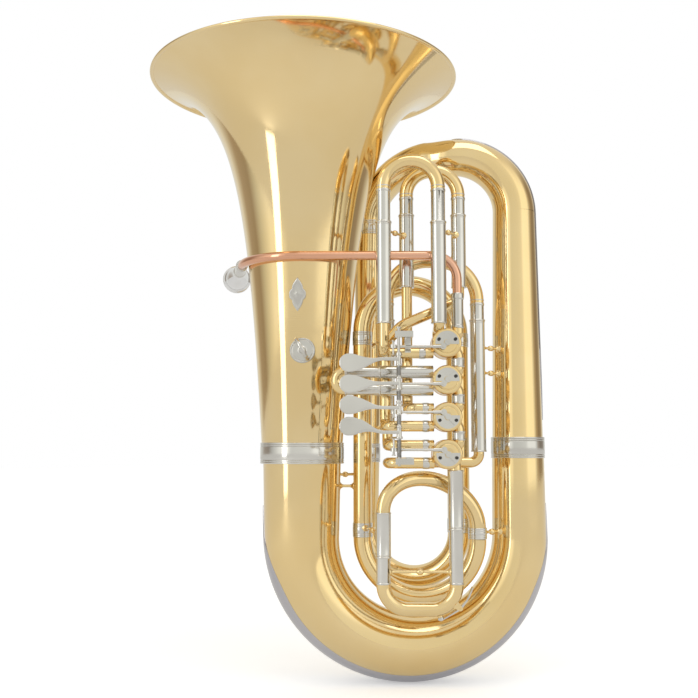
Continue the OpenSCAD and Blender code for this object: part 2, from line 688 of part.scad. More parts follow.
module casing_solids() {
    for (i = [1 : 4]) at_valve(i) along_y(casing_front_y, casing_back_y, casing_r);
}
module knuckles() {
    module run(pts) { pipe(pts, knuckle_r, tube_wall, knuckle_bend); }
    color(BRASS) difference() {
        union() {
            for (i = [1 : 3]) run([[valve_x, line_y, valve_z(i) - main_port_z],
                [line_x, line_y, valve_z(i) - main_port_z],
                [line_x, line_y, valve_z(i + 1) + main_port_z], [valve_x, line_y, valve_z(i + 1) + main_port_z]]);
            run([[line_x, line_y, valve_z(1) + 22 - 0.01], [line_x, line_y, valve_z(1) + main_port_z],
                [valve_x, line_y, valve_z(1) + main_port_z]]);
            run([[valve_x, line_y, valve_z(4) - main_port_z], [tuning_right, line_y, valve_z(4) - main_port_z],
                [tuning_right, line_y, tuning_top]]);
        }
        casing_solids();
    }
    color(NICKEL) for (i = [1 : 3])
        sleeve(line_x, line_y, valve_z(i) - valve_pitch / 2 - 6.5, valve_z(i) - valve_pitch / 2 + 6.5,
            knuckle_r + 0.8, knuckle_r + fit);
}

module valve_casings() {
    color(BRASS) for (i = [1 : 4]) at_valve(i) difference() {
        along_y(casing_front_y, casing_back_y, casing_r);
        along_y(casing_front_y - 1, casing_back_y + 1, rotor_r + fit);
        for (s = [-1, 1]) {
            translate([0, line_y, s * main_port_z]) rotate([0, 90, 0]) cylinder(h = 40, r = main_bore_r);
            if (i > 1 || s < 0)
                translate([0, line_y, s * port_z]) rotate([0, -90, 0]) cylinder(h = 40, r = port_bore_r);
        }
        if (i == 1) translate([slide_1_right - valve_x, line_y, 0]) cylinder(h = 40, r = port_bore_r);
    }
}
module valve_caps() {
    color(BRASS) for (i = [1 : 4]) at_valve(i) difference() {
        along_y(cap_y, casing_front_y, casing_r - 0.8);
        along_y(cap_y - 1, casing_front_y + 1, spindle_r + fit);
    }
}
module valve_back_caps() {
    color(BRASS) for (i = [1 : 4]) at_valve(i) difference() {
        along_y(casing_back_y, casing_back_y + back_cap_t, casing_r - 0.8);
        along_y(casing_back_y - 1, casing_back_y + 1.8, spindle_r + fit);
    }
}
module rotor(i) {
    color("#c9a24e") at_valve(i) difference() {
        union() {
            along_y(casing_front_y + rotor_gap, casing_back_y - rotor_gap, rotor_r);
            along_y(arm_front_y, casing_back_y + 1.5, spindle_r);
        }
        for (s = [-1, 1]) translate([s * 23, line_y, 0]) rotate([90, 0, 0])
            rotate_extrude() translate([15.5, 0]) circle(6.2);
    }
}
// Half-moon plate that carries the bumpers, on the side away from the pin
module cork_plates() {
    color(NICKEL) for (i = [1 : 4]) at_valve(i) difference() {
        along_y(cap_y - plate_t, cap_y, casing_r - 4);
        along_y(cap_y - plate_t - 1, cap_y + 1, hub_r + gap);
        translate([-30, cap_y - 5, side(i) < 0 ? -30 : 2]) cube([60, 10, 28]);
    }
}
bumper_a = half_turn - asin((finger_half + bumper_r) / bumper_place_r) - 2;
module cork_bumpers() {
    color("#3a3330") for (i = [1 : 4], s = [-1, 1]) at_valve(i)
        translate([s * bumper_place_r * cos(bumper_a), 0, -side(i) * bumper_place_r * sin(bumper_a)])
            along_y(arm_front_y + 0.4, cap_y - plate_t, bumper_r);
}
// Stop arm at rest: its pin points to the left of the spindle, its finger right
module stop_arm(i) {
    a = side(i) * (half_turn - 90);
    color(NICKEL) at_valve(i) rotate([0, a, 0]) mirror([0, 0, side(i) < 0 ? 1 : 0]) {
        difference() {
            union() {
                along_y(arm_front_y, arm_back_y + 2, hub_r);
                translate([-2.6, arm_front_y, 0]) cube([5.2, arm_t, stop_pin_r]);
                translate([0, 0, stop_pin_r]) along_y(arm_front_y, arm_back_y, 2.6);
                translate([-finger_half, arm_front_y, -bumper_place_r - 2]) cube([2 * finger_half, arm_t, 10]);
            }
            along_y(arm_front_y - 1, arm_back_y + 4, spindle_r);
        }
        translate([0, 0, stop_pin_r]) along_y(link_y - link_half - 1.6, arm_front_y, pin_r);
        difference() {
            along_y(arm_front_y - 2.2, arm_front_y, hub_r - 0.7);
            translate([-5, arm_front_y - 3, -0.5]) cube([10, 1.6, 1]);
        }
    }
}
// Connecting rod with an eye at the stop pin and a loose eye at the lever
module link(i) {
    z = rod_z(i);
    color(NICKEL) difference() {
        union() {
            rod([eye_x(), link_y, z], [pin_x(), link_y, z], rod_r);
            rod([pin_x() - 14, link_y, z], [pin_x() - 3, link_y, z], 2.5);
            rod([eye_x() + 4, link_y, z], [eye_x() + 12, link_y, z], 2.15);
            translate([pin_x(), 0, z]) along_y(link_y - link_half, link_y + link_half, eye_r);
            translate([eye_x(), link_y, z - 2.4]) cylinder(h = 4.8, r = lever_pin_r + eye_play + 2);
        }
        translate([pin_x(), 0, z]) along_y(link_y - 4, link_y + 4, pin_r + fit);
        translate([eye_x(), link_y, z - 4]) cylinder(h = 8, r = lever_pin_r + eye_play);
    }
}

// ---- Levers ----

// Outline of a finger paddle: a round end that narrows to the lever arm
module paddle_shape(i) {
    drop = lever_z(i) - paddle_z(i);
    hull() {
        circle(paddle_r - 1.6, $fn = 40);
        translate([22, 0]) circle(7.2, $fn = 24);
    }
    polygon([[20, 7], [44, drop + 2.6], [lever_reach, drop + 2.2], [lever_reach, drop - 2.2],
        [44, drop - 2.6], [20, -7]]);
}
module lever(i) {
    z = lever_z(i);
    ax = eye_x() - hinge_x;
    ay = drive_r * cos(lever_travel / 2);
    pz = plate_z(i);
    toward = rod_z(i) > pz ? 1 : -1;
    pin_end = rod_z(i) + toward * 8;
    color(NICKEL) difference() {
        union() {
            translate([hinge_x, hinge_y, z - sleeve_half]) cylinder(h = 2 * sleeve_half, r = hinge_sleeve_r);
            translate([hinge_x - lever_reach, hinge_y - 2.4, paddle_z(i)]) rotate([90, 0, 0])
                linear_extrude(2) paddle_shape(i);
            hull() for (p = [[0, 0], [ax, ay]])
                translate([hinge_x + p[0], hinge_y + p[1], pz - 1.2]) cylinder(h = 2.4, r = 3, $fn = 32);
            translate([eye_x(), hinge_y + ay, min(pz, pin_end)]) cylinder(h = abs(pin_end - pz), r = lever_pin_r);
            translate([eye_x(), hinge_y + ay, min(pin_end, pin_end - toward * 1.6)]) cylinder(h = 1.6, r = 2.6);
        }
        translate([hinge_x, hinge_y, z - 40]) cylinder(h = 80, r = hinge_r + fit);
    }
}
module lever_springs() {
    color("#54504a") for (i = [1 : 4]) {
        top = lever_z(i) - sleeve_half - gap;
        low = i < 4 ? lever_z(i + 1) + sleeve_half + gap : hinge_low_z + 2 + bracket_h + gap;
        sleeve(hinge_x, hinge_y, low, top, 3.4, hinge_r + fit);
    }
}
module hinge_rod() {
    color(NICKEL) {
        translate([hinge_x, hinge_y, hinge_low_z]) cylinder(h = hinge_top_z - hinge_low_z, r = hinge_r);
        difference() {
            translate([hinge_x, hinge_y, hinge_top_z]) cylinder(h = 2, r = 3.4);
            translate([hinge_x - 5, hinge_y - 0.5, hinge_top_z + 1]) cube([10, 1, 2]);
        }
    }
}
module hinge_brackets() {
    module bracket(z, tube_z, tube_r) {
        difference() {
            union() {
                translate([hinge_x - 5, hinge_y - 5, z]) cube([bracket_x0 + bracket_w - hinge_x + 5, 10, bracket_h]);
                translate([bracket_x0, hinge_y - 2, z]) cube([bracket_w, line_y - hinge_y + 2, bracket_h]);
                translate([bracket_x0, line_y - 8, min(z, tube_z)]) cube([bracket_w, 16, abs(z - tube_z) + bracket_h]);
            }
            translate([hinge_x, hinge_y, z - 20]) cylinder(h = 40, r = hinge_r);
            translate([-60, line_y, tube_z]) rotate([0, 90, 0]) cylinder(h = 120, r = tube_r);
            translate([-60, line_y - 20, tube_z - 40]) cube([120, 40, 40]);
        }
    }
    color(NICKEL) {
        bracket(hinge_top_z - 12, valve_z(1) - port_z, loop_r);
        bracket(hinge_low_z + 2, valve_z(4) - port_z, loop_r);
    }
}

// ---- Valve loops and their slides ----

port_x = valve_x - 12;
small_bend = 12.5;
module loop_pipe(pts, bend = small_bend) { pipe(pts, loop_r, tube_wall, bend); }
module casing_cut(i) { at_valve(i) along_y(cap_y, casing_back_y + back_cap_t, casing_r); }
sleeve_1_low = 503;
sleeve_3_low = 560;
sleeve_4_low = 356;
sleeve_4_right_low = 330;
module loop_1() {
    z = valve_z(1) - port_z;
    color(BRASS) {
        difference() {
            loop_pipe([[port_x, line_y, z], [slide_1_left, line_y, z], [slide_1_left, slide_1_y, z],
                [slide_1_left, slide_1_y, sleeve_1_low - gap]], 10);
            casing_cut(1);
        }
        difference() {
            loop_pipe([[slide_1_right, line_y, valve_z(1) + 7], [slide_1_right, line_y, sleeve_1_low - 12],
                [slide_1_right, slide_1_y, sleeve_1_low - 12], [slide_1_right, slide_1_y, sleeve_1_low - gap]], 9.5);
            casing_cut(1);
        }
    }
    color(NICKEL) for (x = [slide_1_left, slide_1_right]) upright_sleeve(x, slide_1_y, sleeve_1_low, slide_1_top);
}
module loop_2() {
    color(NICKEL) for (s = [-1, 1]) difference() {
        translate([slide_2_sleeve_x, line_y, valve_z(2) + s * port_z]) rotate([0, 90, 0])
            cylinder(h = port_x - slide_2_sleeve_x, r = small_sleeve_r);
        translate([slide_2_sleeve_x - 1, line_y, valve_z(2) + s * port_z]) rotate([0, 90, 0])
            cylinder(h = 100, r = small_slide_r + fit);
        casing_cut(2);
    }
}
// The third loop climbs on a slant in front of its other leg
slant_x = -38;
slant_z = 458;
slant = rounded([[slant_x, slide_3_y, slant_z + 0.1], [slant_x, slide_3_y, 474], [-16, -84, 498], [22, -84, 514],
    [slide_3_right, slide_3_y, 536], [slide_3_right, slide_3_y, sleeve_3_low - gap]], 9, 4);
module loop_3() {
    z_up = valve_z(3) + port_z;
    z_low = valve_z(3) - port_z;
    color(BRASS) {
        difference() {
            loop_pipe([[port_x, line_y, z_up], [slide_3_left, line_y, z_up], [slide_3_left, slide_3_y, z_up],
                [slide_3_left, slide_3_y, sleeve_3_low - gap]]);
            casing_cut(3);
        }
        difference() {
            loop_pipe([[port_x, line_y, z_low], [slant_x, line_y, z_low], [slant_x, slide_3_y, z_low],
                [slant_x, slide_3_y, slant_z]]);
            casing_cut(3);
        }
        tapered_tube(slant, [for (q = slant) loop_r], tube_wall, 20);
    }
    color(NICKEL) sleeve(slant_x, slide_3_y, slant_z - 7, slant_z + 7, loop_r + 1, loop_r + fit);
    color(NICKEL) for (x = [slide_3_left, slide_3_right]) upright_sleeve(x, slide_3_y, sleeve_3_low, slide_3_top);
}
module loop_4() {
    z_up = valve_z(4) + port_z;
    z_low = valve_z(4) - port_z;
    color(BRASS) {
        difference() {
            loop_pipe([[port_x, line_y, z_up], [slide_4_left, line_y, z_up], [slide_4_left, slide_4_y, z_up],
                [slide_4_left, slide_4_y, sleeve_4_low - gap]]);
            casing_cut(4);
        }
        difference() {
            loop_pipe([[port_x, line_y, z_low], [slide_4_left, line_y, z_low], [slide_4_left, slide_4_y, z_low],
                [slide_4_right, slide_4_y, z_low], [slide_4_right, slide_4_y, sleeve_4_right_low - gap]]);
            casing_cut(4);
        }
    }
    color(NICKEL) {
        upright_sleeve(slide_4_left, slide_4_y, sleeve_4_low, slide_4_top);
        upright_sleeve(slide_4_right, slide_4_y, sleeve_4_right_low, slide_4_top);
    }
}
// A slide of two straight legs joined by a crook at the top
module upright_slide(left, right, y, sleeve_top, leg_end, crook_low, bend) {
    top = crook_low + bend + 6;
    color(BRASS) pipe([[left, y, crook_low], [left, y, top], [right, y, top], [right, y, crook_low]],
        slide_r, slide_wall, bend);
    color(NICKEL) for (x = [left, right]) sleeve(x, y, leg_end, crook_low, slide_r, slide_r - slide_wall);
}
module slide_1() { upright_slide(slide_1_left, slide_1_right, slide_1_y, slide_1_top, slide_1_top - 130, slide_1_top + 42, 36.5); }
module slide_3() { upright_slide(slide_3_left, slide_3_right, slide_3_y, slide_3_top, slide_3_top - 92, slide_3_top + 22, 35.5); }
module slide_4() { upright_slide(slide_4_left, slide_4_right, slide_4_y, slide_4_top, slide_4_top - 140, slide_4_top + 21, 58); }
module slide_2() {
    zt = valve_z(2) + port_z;
    zl = valve_z(2) - port_z;
    color(BRASS) {
        translate([slide_2_crook_x, line_y, valve_z(2)]) rotate([0, 0, 180]) rotate([90, 0, 0])
            rotate([0, 0, -90]) rotate_extrude(angle = 180) translate([port_z, 0]) difference() {
                circle(small_slide_r);
                circle(small_slide_r - slide_wall);
            }
    }
    color(NICKEL) for (z = [zt, zl]) translate([slide_2_crook_x, line_y, z]) rotate([0, 90, 0]) difference() {
        cylinder(h = 100, r = small_slide_r);
        translate([0, 0, -1]) cylinder(h = 102, r = small_slide_r - slide_wall);
    }
}

// ---- Braces and fittings ----

// A stay between two tubes, with a flange at each end cut to the tube it meets
module brace(a, b, r) {
    d = unit(b - a);
    difference() {
        union() {
            rod(a, b, r);
            rod(a, a + d * 3.4, r + 2.6);
            rod(b - d * 3.4, b, r + 2.6);
        }
        children();
    }
}
module upright_cut(x, y, r) { translate([x, y, 0]) cylinder(h = 800, r = r); }
module braces() {
    color(BRASS) {
        brace([slide_1_left, slide_1_y, 627], [slide_3_left, slide_3_y, 627], 2) {
            upright_cut(slide_1_left, slide_1_y, sleeve_r);
            upright_cut(slide_3_left, slide_3_y, sleeve_r);
        }
        brace([slide_1_right, slide_1_y, 628], [slide_3_right, slide_3_y, 628], 2) {
            upright_cut(slide_1_right, slide_1_y, sleeve_r);
            upright_cut(slide_3_right, slide_3_y, sleeve_r);
        }
        for (z = [436, 472]) brace([slide_4_right, slide_4_y, z], [branch_x, 0, z], 2) {
            upright_cut(slide_4_right, slide_4_y, sleeve_r);
            branch_cut();
        }
        brace([bell_x, 0, 275], [front_x, front_y, 275], 2.4) {
            bow_cut();
            upright_cut(front_x, front_y, front_r);
        }
        brace([tuning_x, tuning_y, 212], [branch_x, 0, 212], 2.4) {
            upright_cut(tuning_x, tuning_y, tuning_r + inner_ferrule_t);
            bow_cut();
        }
        brace([bell_x, 0, 430], [front_x, front_y, 430], 2.4) {
            bell_cut();
            upright_cut(front_x, front_y, front_r);
        }
        brace([front_x, front_y, 216], [tuning_left, line_y, 216], 2.2) {
            upright_cut(front_x, front_y, front_r + inner_ferrule_t);
            upright_cut(tuning_left, line_y, sleeve_r);
        }
        brace([inner_x, inner_y, 290], [bell_x, 0, 290], 2.4) {
            inner_cut();
            bow_cut();
        }
        brace([inner_x, inner_y, 360], [back_x, back_y, 360], 2.4) {
            inner_cut();
            upright_cut(back_x, back_y, back_r);
        }
        brace([slide_4_left, slide_4_y, 484], [inner_x + 3, inner_y, 484], 2.2) {
            inner_cut();
            upright_cut(slide_4_left, slide_4_y, sleeve_r);
        }
    }
}
module branch_cut() {
    translate([branch_x, 0, branch_joint_z])
        cylinder(h = top_bow_z - branch_joint_z, r1 = bow_branch_r - 0.6, r2 = top_bow_r);
}
module bell_cut() {
    translate([bell_x, 0, 0]) rotate_extrude($fn = 96) polygon(concat(
        [[0, bell_top_z - bell_d(16)]],
        [for (i = [16 : BELL_STEPS]) [bell_r(bell_d(i)), bell_top_z - bell_d(i)]],
        [[0, bell_joint_z]]));
}
module inner_cut() {
    a = [inner_x, inner_y, back_bow_z];
    b = [inner_top_x, inner_y, top_bow_z];
    d = unit(b - a);
    aim(a, across(d), cross(d, across(d))) cylinder(h = norm(b - a), r1 = inner_low_r, r2 = inner_branch_r);
}
// The straight upper legs of the bottom bow
module bow_cut() {
    h = bell_joint_z - bow_centre_z;
    translate([bell_x, 0, bow_centre_z]) cylinder(h = h, r1 = bow_bell_r - 2.5, r2 = bow_bell_r);
    translate([branch_x, 0, bow_centre_z]) cylinder(h = branch_joint_z - bow_centre_z, r1 = bow_branch_r + 1.5, r2 = bow_branch_r);
}

// Diamond shield with a scalloped edge, curved to the bell
module badge() {
    z = 543;
    r = bell_r(bell_top_z - z);
    color(NICKEL) difference() {
        intersection() {
            translate([bell_x, 0, z - 30]) cylinder(h = 60, r1 = r - 0.6, r2 = r + 4.4, $fn = 96);
            translate([bell_x - 4, -r + 12, z]) rotate([90, 0, 0]) linear_extrude(30) {
                polygon([[0, 25], [5, 15], [11, 8], [9, 0], [11, -8], [5, -15], [0, -25],
                    [-5, -15], [-11, -8], [-9, 0], [-11, 8], [-5, 15]]);
                circle(9);
            }
        }
        bell_cut();
    }
}
// The strap ring stands on edge in a small saddle on its plate
strap_z = 465;
strap_x = bell_x + 3;
strap_r = bell_r(bell_top_z - strap_z);
strap_face_y = -strap_r - 2.5;
ring_bore = 16;
ring_r = 18.2;
ring_half = 2.5;
ring_lean = 30;
module at_ring() {
    translate([strap_x, strap_face_y - ring_r - 0.4, strap_z]) rotate([0, 90 - ring_lean, 0]) children();
}
module strap_plate() {
    color(NICKEL) difference() {
        union() {
            translate([strap_x, 0, strap_z]) along_y(strap_face_y, -strap_r + 6, 18);
            translate([strap_x, 0, strap_z]) along_y(strap_face_y - 3, strap_face_y + 1, 4.5);
        }
        bell_cut();
        at_ring() cylinder(h = 40, r = ring_r, center = true);
    }
}
module strap_ring() {
    color(NICKEL) at_ring() difference() {
        cylinder(h = 2 * ring_half, r = ring_r, center = true);
        cylinder(h = 4 * ring_half, r = ring_bore, center = true);
    }
}

bell();
bell_rim_wire();
ferrules();
bottom_bow();
bottom_bow_guard();
outer_branch();
top_bow();
top_bow_guard();
inner_branch();
back_bottom_bow();
back_branch();
inner_top_bow();
front_branch();
inner_bottom_bow();
tuning_bow();
tuning_sleeves();
tuning_slide();
water_key_saddle();
water_key();
leadpipe();
mouthpiece_receiver();
mouthpiece();
inlet_tube();
knuckles();
valve_casings();
valve_caps();
valve_back_caps();
cork_plates();
cork_bumpers();
rotor(1);  // rotor_1
rotor(2);  // rotor_2
rotor(3);  // rotor_3
rotor(4);  // rotor_4
stop_arm(1);  // stop_arm_1
stop_arm(2);  // stop_arm_2
stop_arm(3);  // stop_arm_3
stop_arm(4);  // stop_arm_4
link(1);  // link_1
link(2);  // link_2
link(3);  // link_3
link(4);  // link_4
lever(1);  // lever_1
lever(2);  // lever_2
lever(3);  // lever_3
lever(4);  // lever_4
lever_springs();
hinge_rod();
hinge_brackets();
loop_1();
loop_2();
loop_3();
loop_4();
slide_1();
slide_2();
slide_3();
slide_4();
braces();
badge();
strap_plate();
strap_ring();
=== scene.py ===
"""Looks of a four-valve rotary tuba: swept tubes, turned fittings, lacquered brass and nickel silver."""
import math
import bmesh
import bpy
import numpy as np
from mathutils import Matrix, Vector


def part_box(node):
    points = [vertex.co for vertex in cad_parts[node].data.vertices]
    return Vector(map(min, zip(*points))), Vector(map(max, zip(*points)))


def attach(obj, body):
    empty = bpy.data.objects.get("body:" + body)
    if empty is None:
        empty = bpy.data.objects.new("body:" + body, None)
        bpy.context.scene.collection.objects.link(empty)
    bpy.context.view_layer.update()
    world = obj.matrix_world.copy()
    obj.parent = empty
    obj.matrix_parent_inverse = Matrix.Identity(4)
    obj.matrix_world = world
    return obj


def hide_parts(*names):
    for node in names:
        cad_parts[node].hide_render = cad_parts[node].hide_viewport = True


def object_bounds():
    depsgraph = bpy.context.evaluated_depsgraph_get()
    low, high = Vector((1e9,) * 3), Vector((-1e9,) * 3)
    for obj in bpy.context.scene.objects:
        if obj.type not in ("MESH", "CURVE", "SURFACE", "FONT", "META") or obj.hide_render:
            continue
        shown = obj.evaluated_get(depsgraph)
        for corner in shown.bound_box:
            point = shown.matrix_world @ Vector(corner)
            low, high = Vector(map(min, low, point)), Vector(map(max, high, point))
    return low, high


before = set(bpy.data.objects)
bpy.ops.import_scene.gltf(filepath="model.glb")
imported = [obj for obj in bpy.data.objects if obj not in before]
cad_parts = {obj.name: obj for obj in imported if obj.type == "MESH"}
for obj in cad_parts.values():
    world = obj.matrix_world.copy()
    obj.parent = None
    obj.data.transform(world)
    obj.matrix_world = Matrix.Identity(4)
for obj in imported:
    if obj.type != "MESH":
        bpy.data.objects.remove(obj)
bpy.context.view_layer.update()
MM = 0.001
TAU = 2 * math.pi
GUIDE = np.array([0.53, 0.31, 0.79]) / math.sqrt(0.53**2 + 0.31**2 + 0.79**2)


def span(node):
    """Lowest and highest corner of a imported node, in millimetres."""
    low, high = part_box(node)
    return np.array(low) / MM, np.array(high) / MM


def unit(v):
    """The vector over its own length, for one vector or an array of them."""
    v = np.asarray(v, float)
    return v / np.linalg.norm(v, axis=-1, keepdims=True)


def ease(t):
    """Smooth step from 0 to 1: 3t^2 - 2t^3, held at both ends."""
    t = np.clip(t, 0, 1)
    return t * t * (3 - 2 * t)


# ---- Sizes in millimetres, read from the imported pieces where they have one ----

BELL_LOW, BELL_HIGH = span("bell")
BELL_X = (BELL_LOW[0] + BELL_HIGH[0]) / 2
RIM_R = 225.0
BELL_TOP = 877.0
BELL_LENGTH = 555.0
FLARE = 33.0
FLARE_POWER = 0.451
THROAT_TRIM = 3.3
BELL_WALL = 1.2
HALF = -BELL_X
BOW_Z = 204.75
BOW_JOINT = 322.0
BRANCH_JOINT = 330.0
BRANCH_TOP = 676.0
BRANCH_R = 37.0
TOP_R = 31.0
TOP_BEND = 85.0
INNER_TOP_X = HALF - 2 * TOP_BEND - 43.5
INNER_X, INNER_Y, INNER_LOW_R, INNER_R = -62.0, 70.0, 17.6, 22.5
BACK_X, BACK_Y, BACK_R = 72.0, 20.0, 16.2
FRONT_X, FRONT_Y, FRONT_R = -69.0, -8.0, 13.4
TUNING_X, TUNING_Y, TUNING_R = 90.5, -45.0, 12.2
LINE_X, LINE_Y = 61.0, -90.0
VALVE_X = 44.0
VALVE_Z = [471.0, 421.0, 371.0, 321.0]
CASING_FRONT, CASING_BACK = -111.08, -77.08
CAP_Y = -114.08
SLEEVE_R, SLIDE_R, LOOP_R = 10.4, 9.6, 7.4
HINGE_X, HINGE_Y = -23.0, -143.717
LEVER_Z = [446.0, 414.0, 382.0, 350.0]
PADDLE_Z = [441.0, 413.3, 385.6, 357.9]
ROD_Z = [464.813, 414.813, 377.187, 327.187]
PLATE_Z = [452.0, 407.0, 385.0, 343.0]
LEVER_REACH = 66.0
LEVER_THROW = 6.187
DRIVE_Y = 20.888
WRAP_R, PIPE_R, PIPE_Z = 90.0, 6.4, 595.0


def bell_radius(d):
    """Outer radius at a distance d below the rim: rim radius times (1 + d / flare) to a power."""
    return RIM_R * (1 + d / FLARE) ** -FLARE_POWER - THROAT_TRIM * (d / 555.0) ** 2


# ---- Shapes ----

def frames(path):
    """Tangents by central differences, and two side vectors from one slanted guide crossed with them."""
    tangent = unit(np.gradient(path, axis=0))
    side = unit(np.cross(GUIDE, tangent))
    return tangent, side, np.cross(tangent, side)


def swept(path, radii, wall=0.9, sides=44):
    """Rings p + r (cos a u + sin a v) along a path, then the inner rings one wall in, run back."""
    path = np.asarray(path, float)
    radii = np.broadcast_to(np.asarray(radii, float), (len(path),))
    _, u, v = frames(path)
    a = np.linspace(0, TAU, sides, endpoint=False)[None, :, None]
    ring = np.cos(a) * u[:, None] + np.sin(a) * v[:, None]
    outer = path[:, None] + radii[:, None, None] * ring
    inner = path[:, None] + (radii - wall)[:, None, None] * ring
    return np.concatenate([outer, inner[::-1], outer[:1]])


def route(points, bends, step=7.0):
    """Straight runs joined by circular bends: each corner's arc is swept in equal steps of angle."""
    p = np.asarray(points, float)
    if np.isscalar(bends):
        bends = [bends] * len(p)
    out = [p[:1]]
    for i in range(1, len(p) - 1):
        a = unit(p[i] - p[i - 1])
        b = unit(p[i + 1] - p[i])
        turn = math.acos(float(np.clip(a @ b, -1, 1)))
        if turn < 0.01:
            continue
        cut = bends[i] * math.tan(turn / 2)
        inward = unit(b - (b @ a) * a)
        centre = p[i] - a * cut + inward * bends[i]
        angle = np.linspace(0, turn, max(4, int(math.degrees(turn) / step)))[:, None]
        out.append(centre - inward * bends[i] * np.cos(angle) + a * bends[i] * np.sin(angle))
    out.append(p[-1:])
    return np.concatenate(out)


def arch(ax, ay, bx, by, z, up, steps=48):
    """Half a turn between two legs: height follows a sine, and the sideways shift a cosine."""
    a = np.linspace(0, math.pi, steps + 1)
    w = (1 - np.cos(a)) / 2
    return np.stack([ax + (bx - ax) * w, ay + (by - ay) * w, z + up * abs(bx - ax) / 2 * np.sin(a)], 1)


def softened(profile, reach=0.4, steps=4, closed=True):
    """Each corner of an outline becomes a quadratic curve that starts and ends a reach away."""
    p = np.asarray(profile, float)
    back = np.roll(p, 1, 0) - p
    ahead = np.roll(p, -1, 0) - p
    back_len = np.linalg.norm(back, axis=1, keepdims=True)
    ahead_len = np.linalg.norm(ahead, axis=1, keepdims=True)
    a = p + back * np.minimum(reach / back_len, 0.45)
    b = p + ahead * np.minimum(reach / ahead_len, 0.45)
    s = np.linspace(0, 1, steps)[None, :, None]
    curve = ((1 - s) ** 2 * a[:, None] + 2 * s * (1 - s) * p[:, None] + s**2 * b[:, None]).reshape(-1, 2)
    return curve if closed else np.concatenate([p[:1], curve[steps:-steps], p[-1:]])


def turned(profile, at, along=(0, 0, 1), sides=64, closed=True):
    """A profile of radius and height turned about an axis: at + s axis + r (cos a u + sin a v)."""
    p = np.asarray(profile, float)
    if closed:
        p = np.concatenate([p, p[:1]])
    axis = unit(along)
    u = unit(np.cross(GUIDE, axis))
    v = np.cross(axis, u)
    a = np.linspace(0, TAU, sides, endpoint=False)[None, :, None]
    spoke = np.cos(a) * u + np.sin(a) * v
    return np.asarray(at, float) + p[:, 1][:, None, None] * axis + p[:, 0][:, None, None] * spoke


def band(path, radii, thick, half_angles, side, steps=20):
    """A strip over a tube: at each ring the section runs over the outer arc and back under it."""
    path = np.asarray(path, float)
    tangent = unit(np.gradient(path, axis=0))
    u = unit(np.cross(side, tangent))
    v = np.cross(tangent, u)
    share = np.linspace(-1, 1, steps + 1)
    a = np.concatenate([share, share[::-1]])[None, :] * half_angles[:, None]
    rise = np.concatenate([1 - np.abs(share) ** 10 * 0.85, -0.25 * np.ones(steps + 1)])
    r = radii[:, None] + thick * rise[None, :]
    grid = path[:, None] + r[..., None] * (np.cos(a)[..., None] * u[:, None] + np.sin(a)[..., None] * v[:,
        None])
    ends = [g.mean(0, keepdims=True).repeat(grid.shape[1], 0)[None] for g in (grid[0], grid[-1])]
    return np.concatenate([ends[0], grid, ends[1]])


def grid_volume(grid):
    """Signed volume by the tetrahedra that each face makes with the origin."""
    a, b = grid[:-1], np.roll(grid, -1, 1)[:-1]
    c, d = np.roll(grid, -1, 1)[1:], grid[1:]
    return np.einsum("ijk,ijk->", a, np.cross(b, c)) + np.einsum("ijk,ijk->", a, np.cross(c, d))


def piece(name, surfaces, body, nodes=(), crisp=38):
    """Joins closed grids into one mesh, each with its own finish, every face turned outwards."""
    verts, faces, slots, finishes, start = [], [], [], [], 0
    for grid, finish in surfaces:
        grid = np.asarray(grid, float)
        if grid_volume(grid - grid.mean((0, 1))) < 0:
            grid = grid[:, ::-1]
        n, m = grid.shape[:2]
        index = start + np.arange(n * m).reshape(n, m)
        a, b = index[:-1], np.roll(index, -1, 1)[:-1]
        c, d = np.roll(index, -1, 1)[1:], index[1:]
        quads = np.stack([a, b, c, d], -1).reshape(-1, 4)
        if finish not in finishes:
            finishes.append(finish)
        verts.append(grid.reshape(-1, 3) * MM)
        faces.append(quads)
        slots.append(np.full(len(quads), finishes.index(finish)))
        start += n * m
    mesh = bpy.data.meshes.new(name)
    mesh.from_pydata(np.concatenate(verts).tolist(), [], np.concatenate(faces).tolist())
    mesh.polygons.foreach_set("material_index", np.concatenate(slots))
    mesh.polygons.foreach_set("use_smooth", np.ones(len(mesh.polygons), bool))
    for finish in finishes:
        mesh.materials.append(FINISH[finish])
    work = bmesh.new()
    work.from_mesh(mesh)
    bmesh.ops.remove_doubles(work, verts=work.verts, dist=2e-6)
    bmesh.ops.dissolve_degenerate(work, edges=work.edges, dist=1e-7)
    work.to_mesh(mesh)
    work.free()
    mesh.set_sharp_from_angle(angle=math.radians(crisp))
    thing = bpy.data.objects.new(name, mesh)
    bpy.context.scene.collection.objects.link(thing)
    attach(thing, body)
    if nodes:
        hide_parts(*nodes)
    return thing


# ---- Finishes ----

def group(name, inputs, outputs):
    """An empty shader group with float inputs and named outputs."""
    tree = bpy.data.node_groups.new(name, "ShaderNodeTree")
    for label, value in inputs:
        socket = tree.interface.new_socket(label, in_out="INPUT", socket_type="NodeSocketFloat")
        socket.default_value = value
    for label, kind in outputs:
        tree.interface.new_socket(label, in_out="OUTPUT", socket_type=kind)
    return tree, tree.nodes.new("NodeGroupInput"), tree.nodes.new("NodeGroupOutput")


def ramp(tree, source, low, high, a, b):
    """A Map Range node from low..high to a..b, smoothed."""
    node = tree.nodes.new("ShaderNodeMapRange")
    node.interpolation_type = "SMOOTHSTEP"
    node.inputs["From Min"].default_value = low
    node.inputs["From Max"].default_value = high
    node.inputs["To Min"].default_value = a
    node.inputs["To Max"].default_value = b
    tree.links.new(source, node.inputs["Value"])
    return node.outputs["Result"]


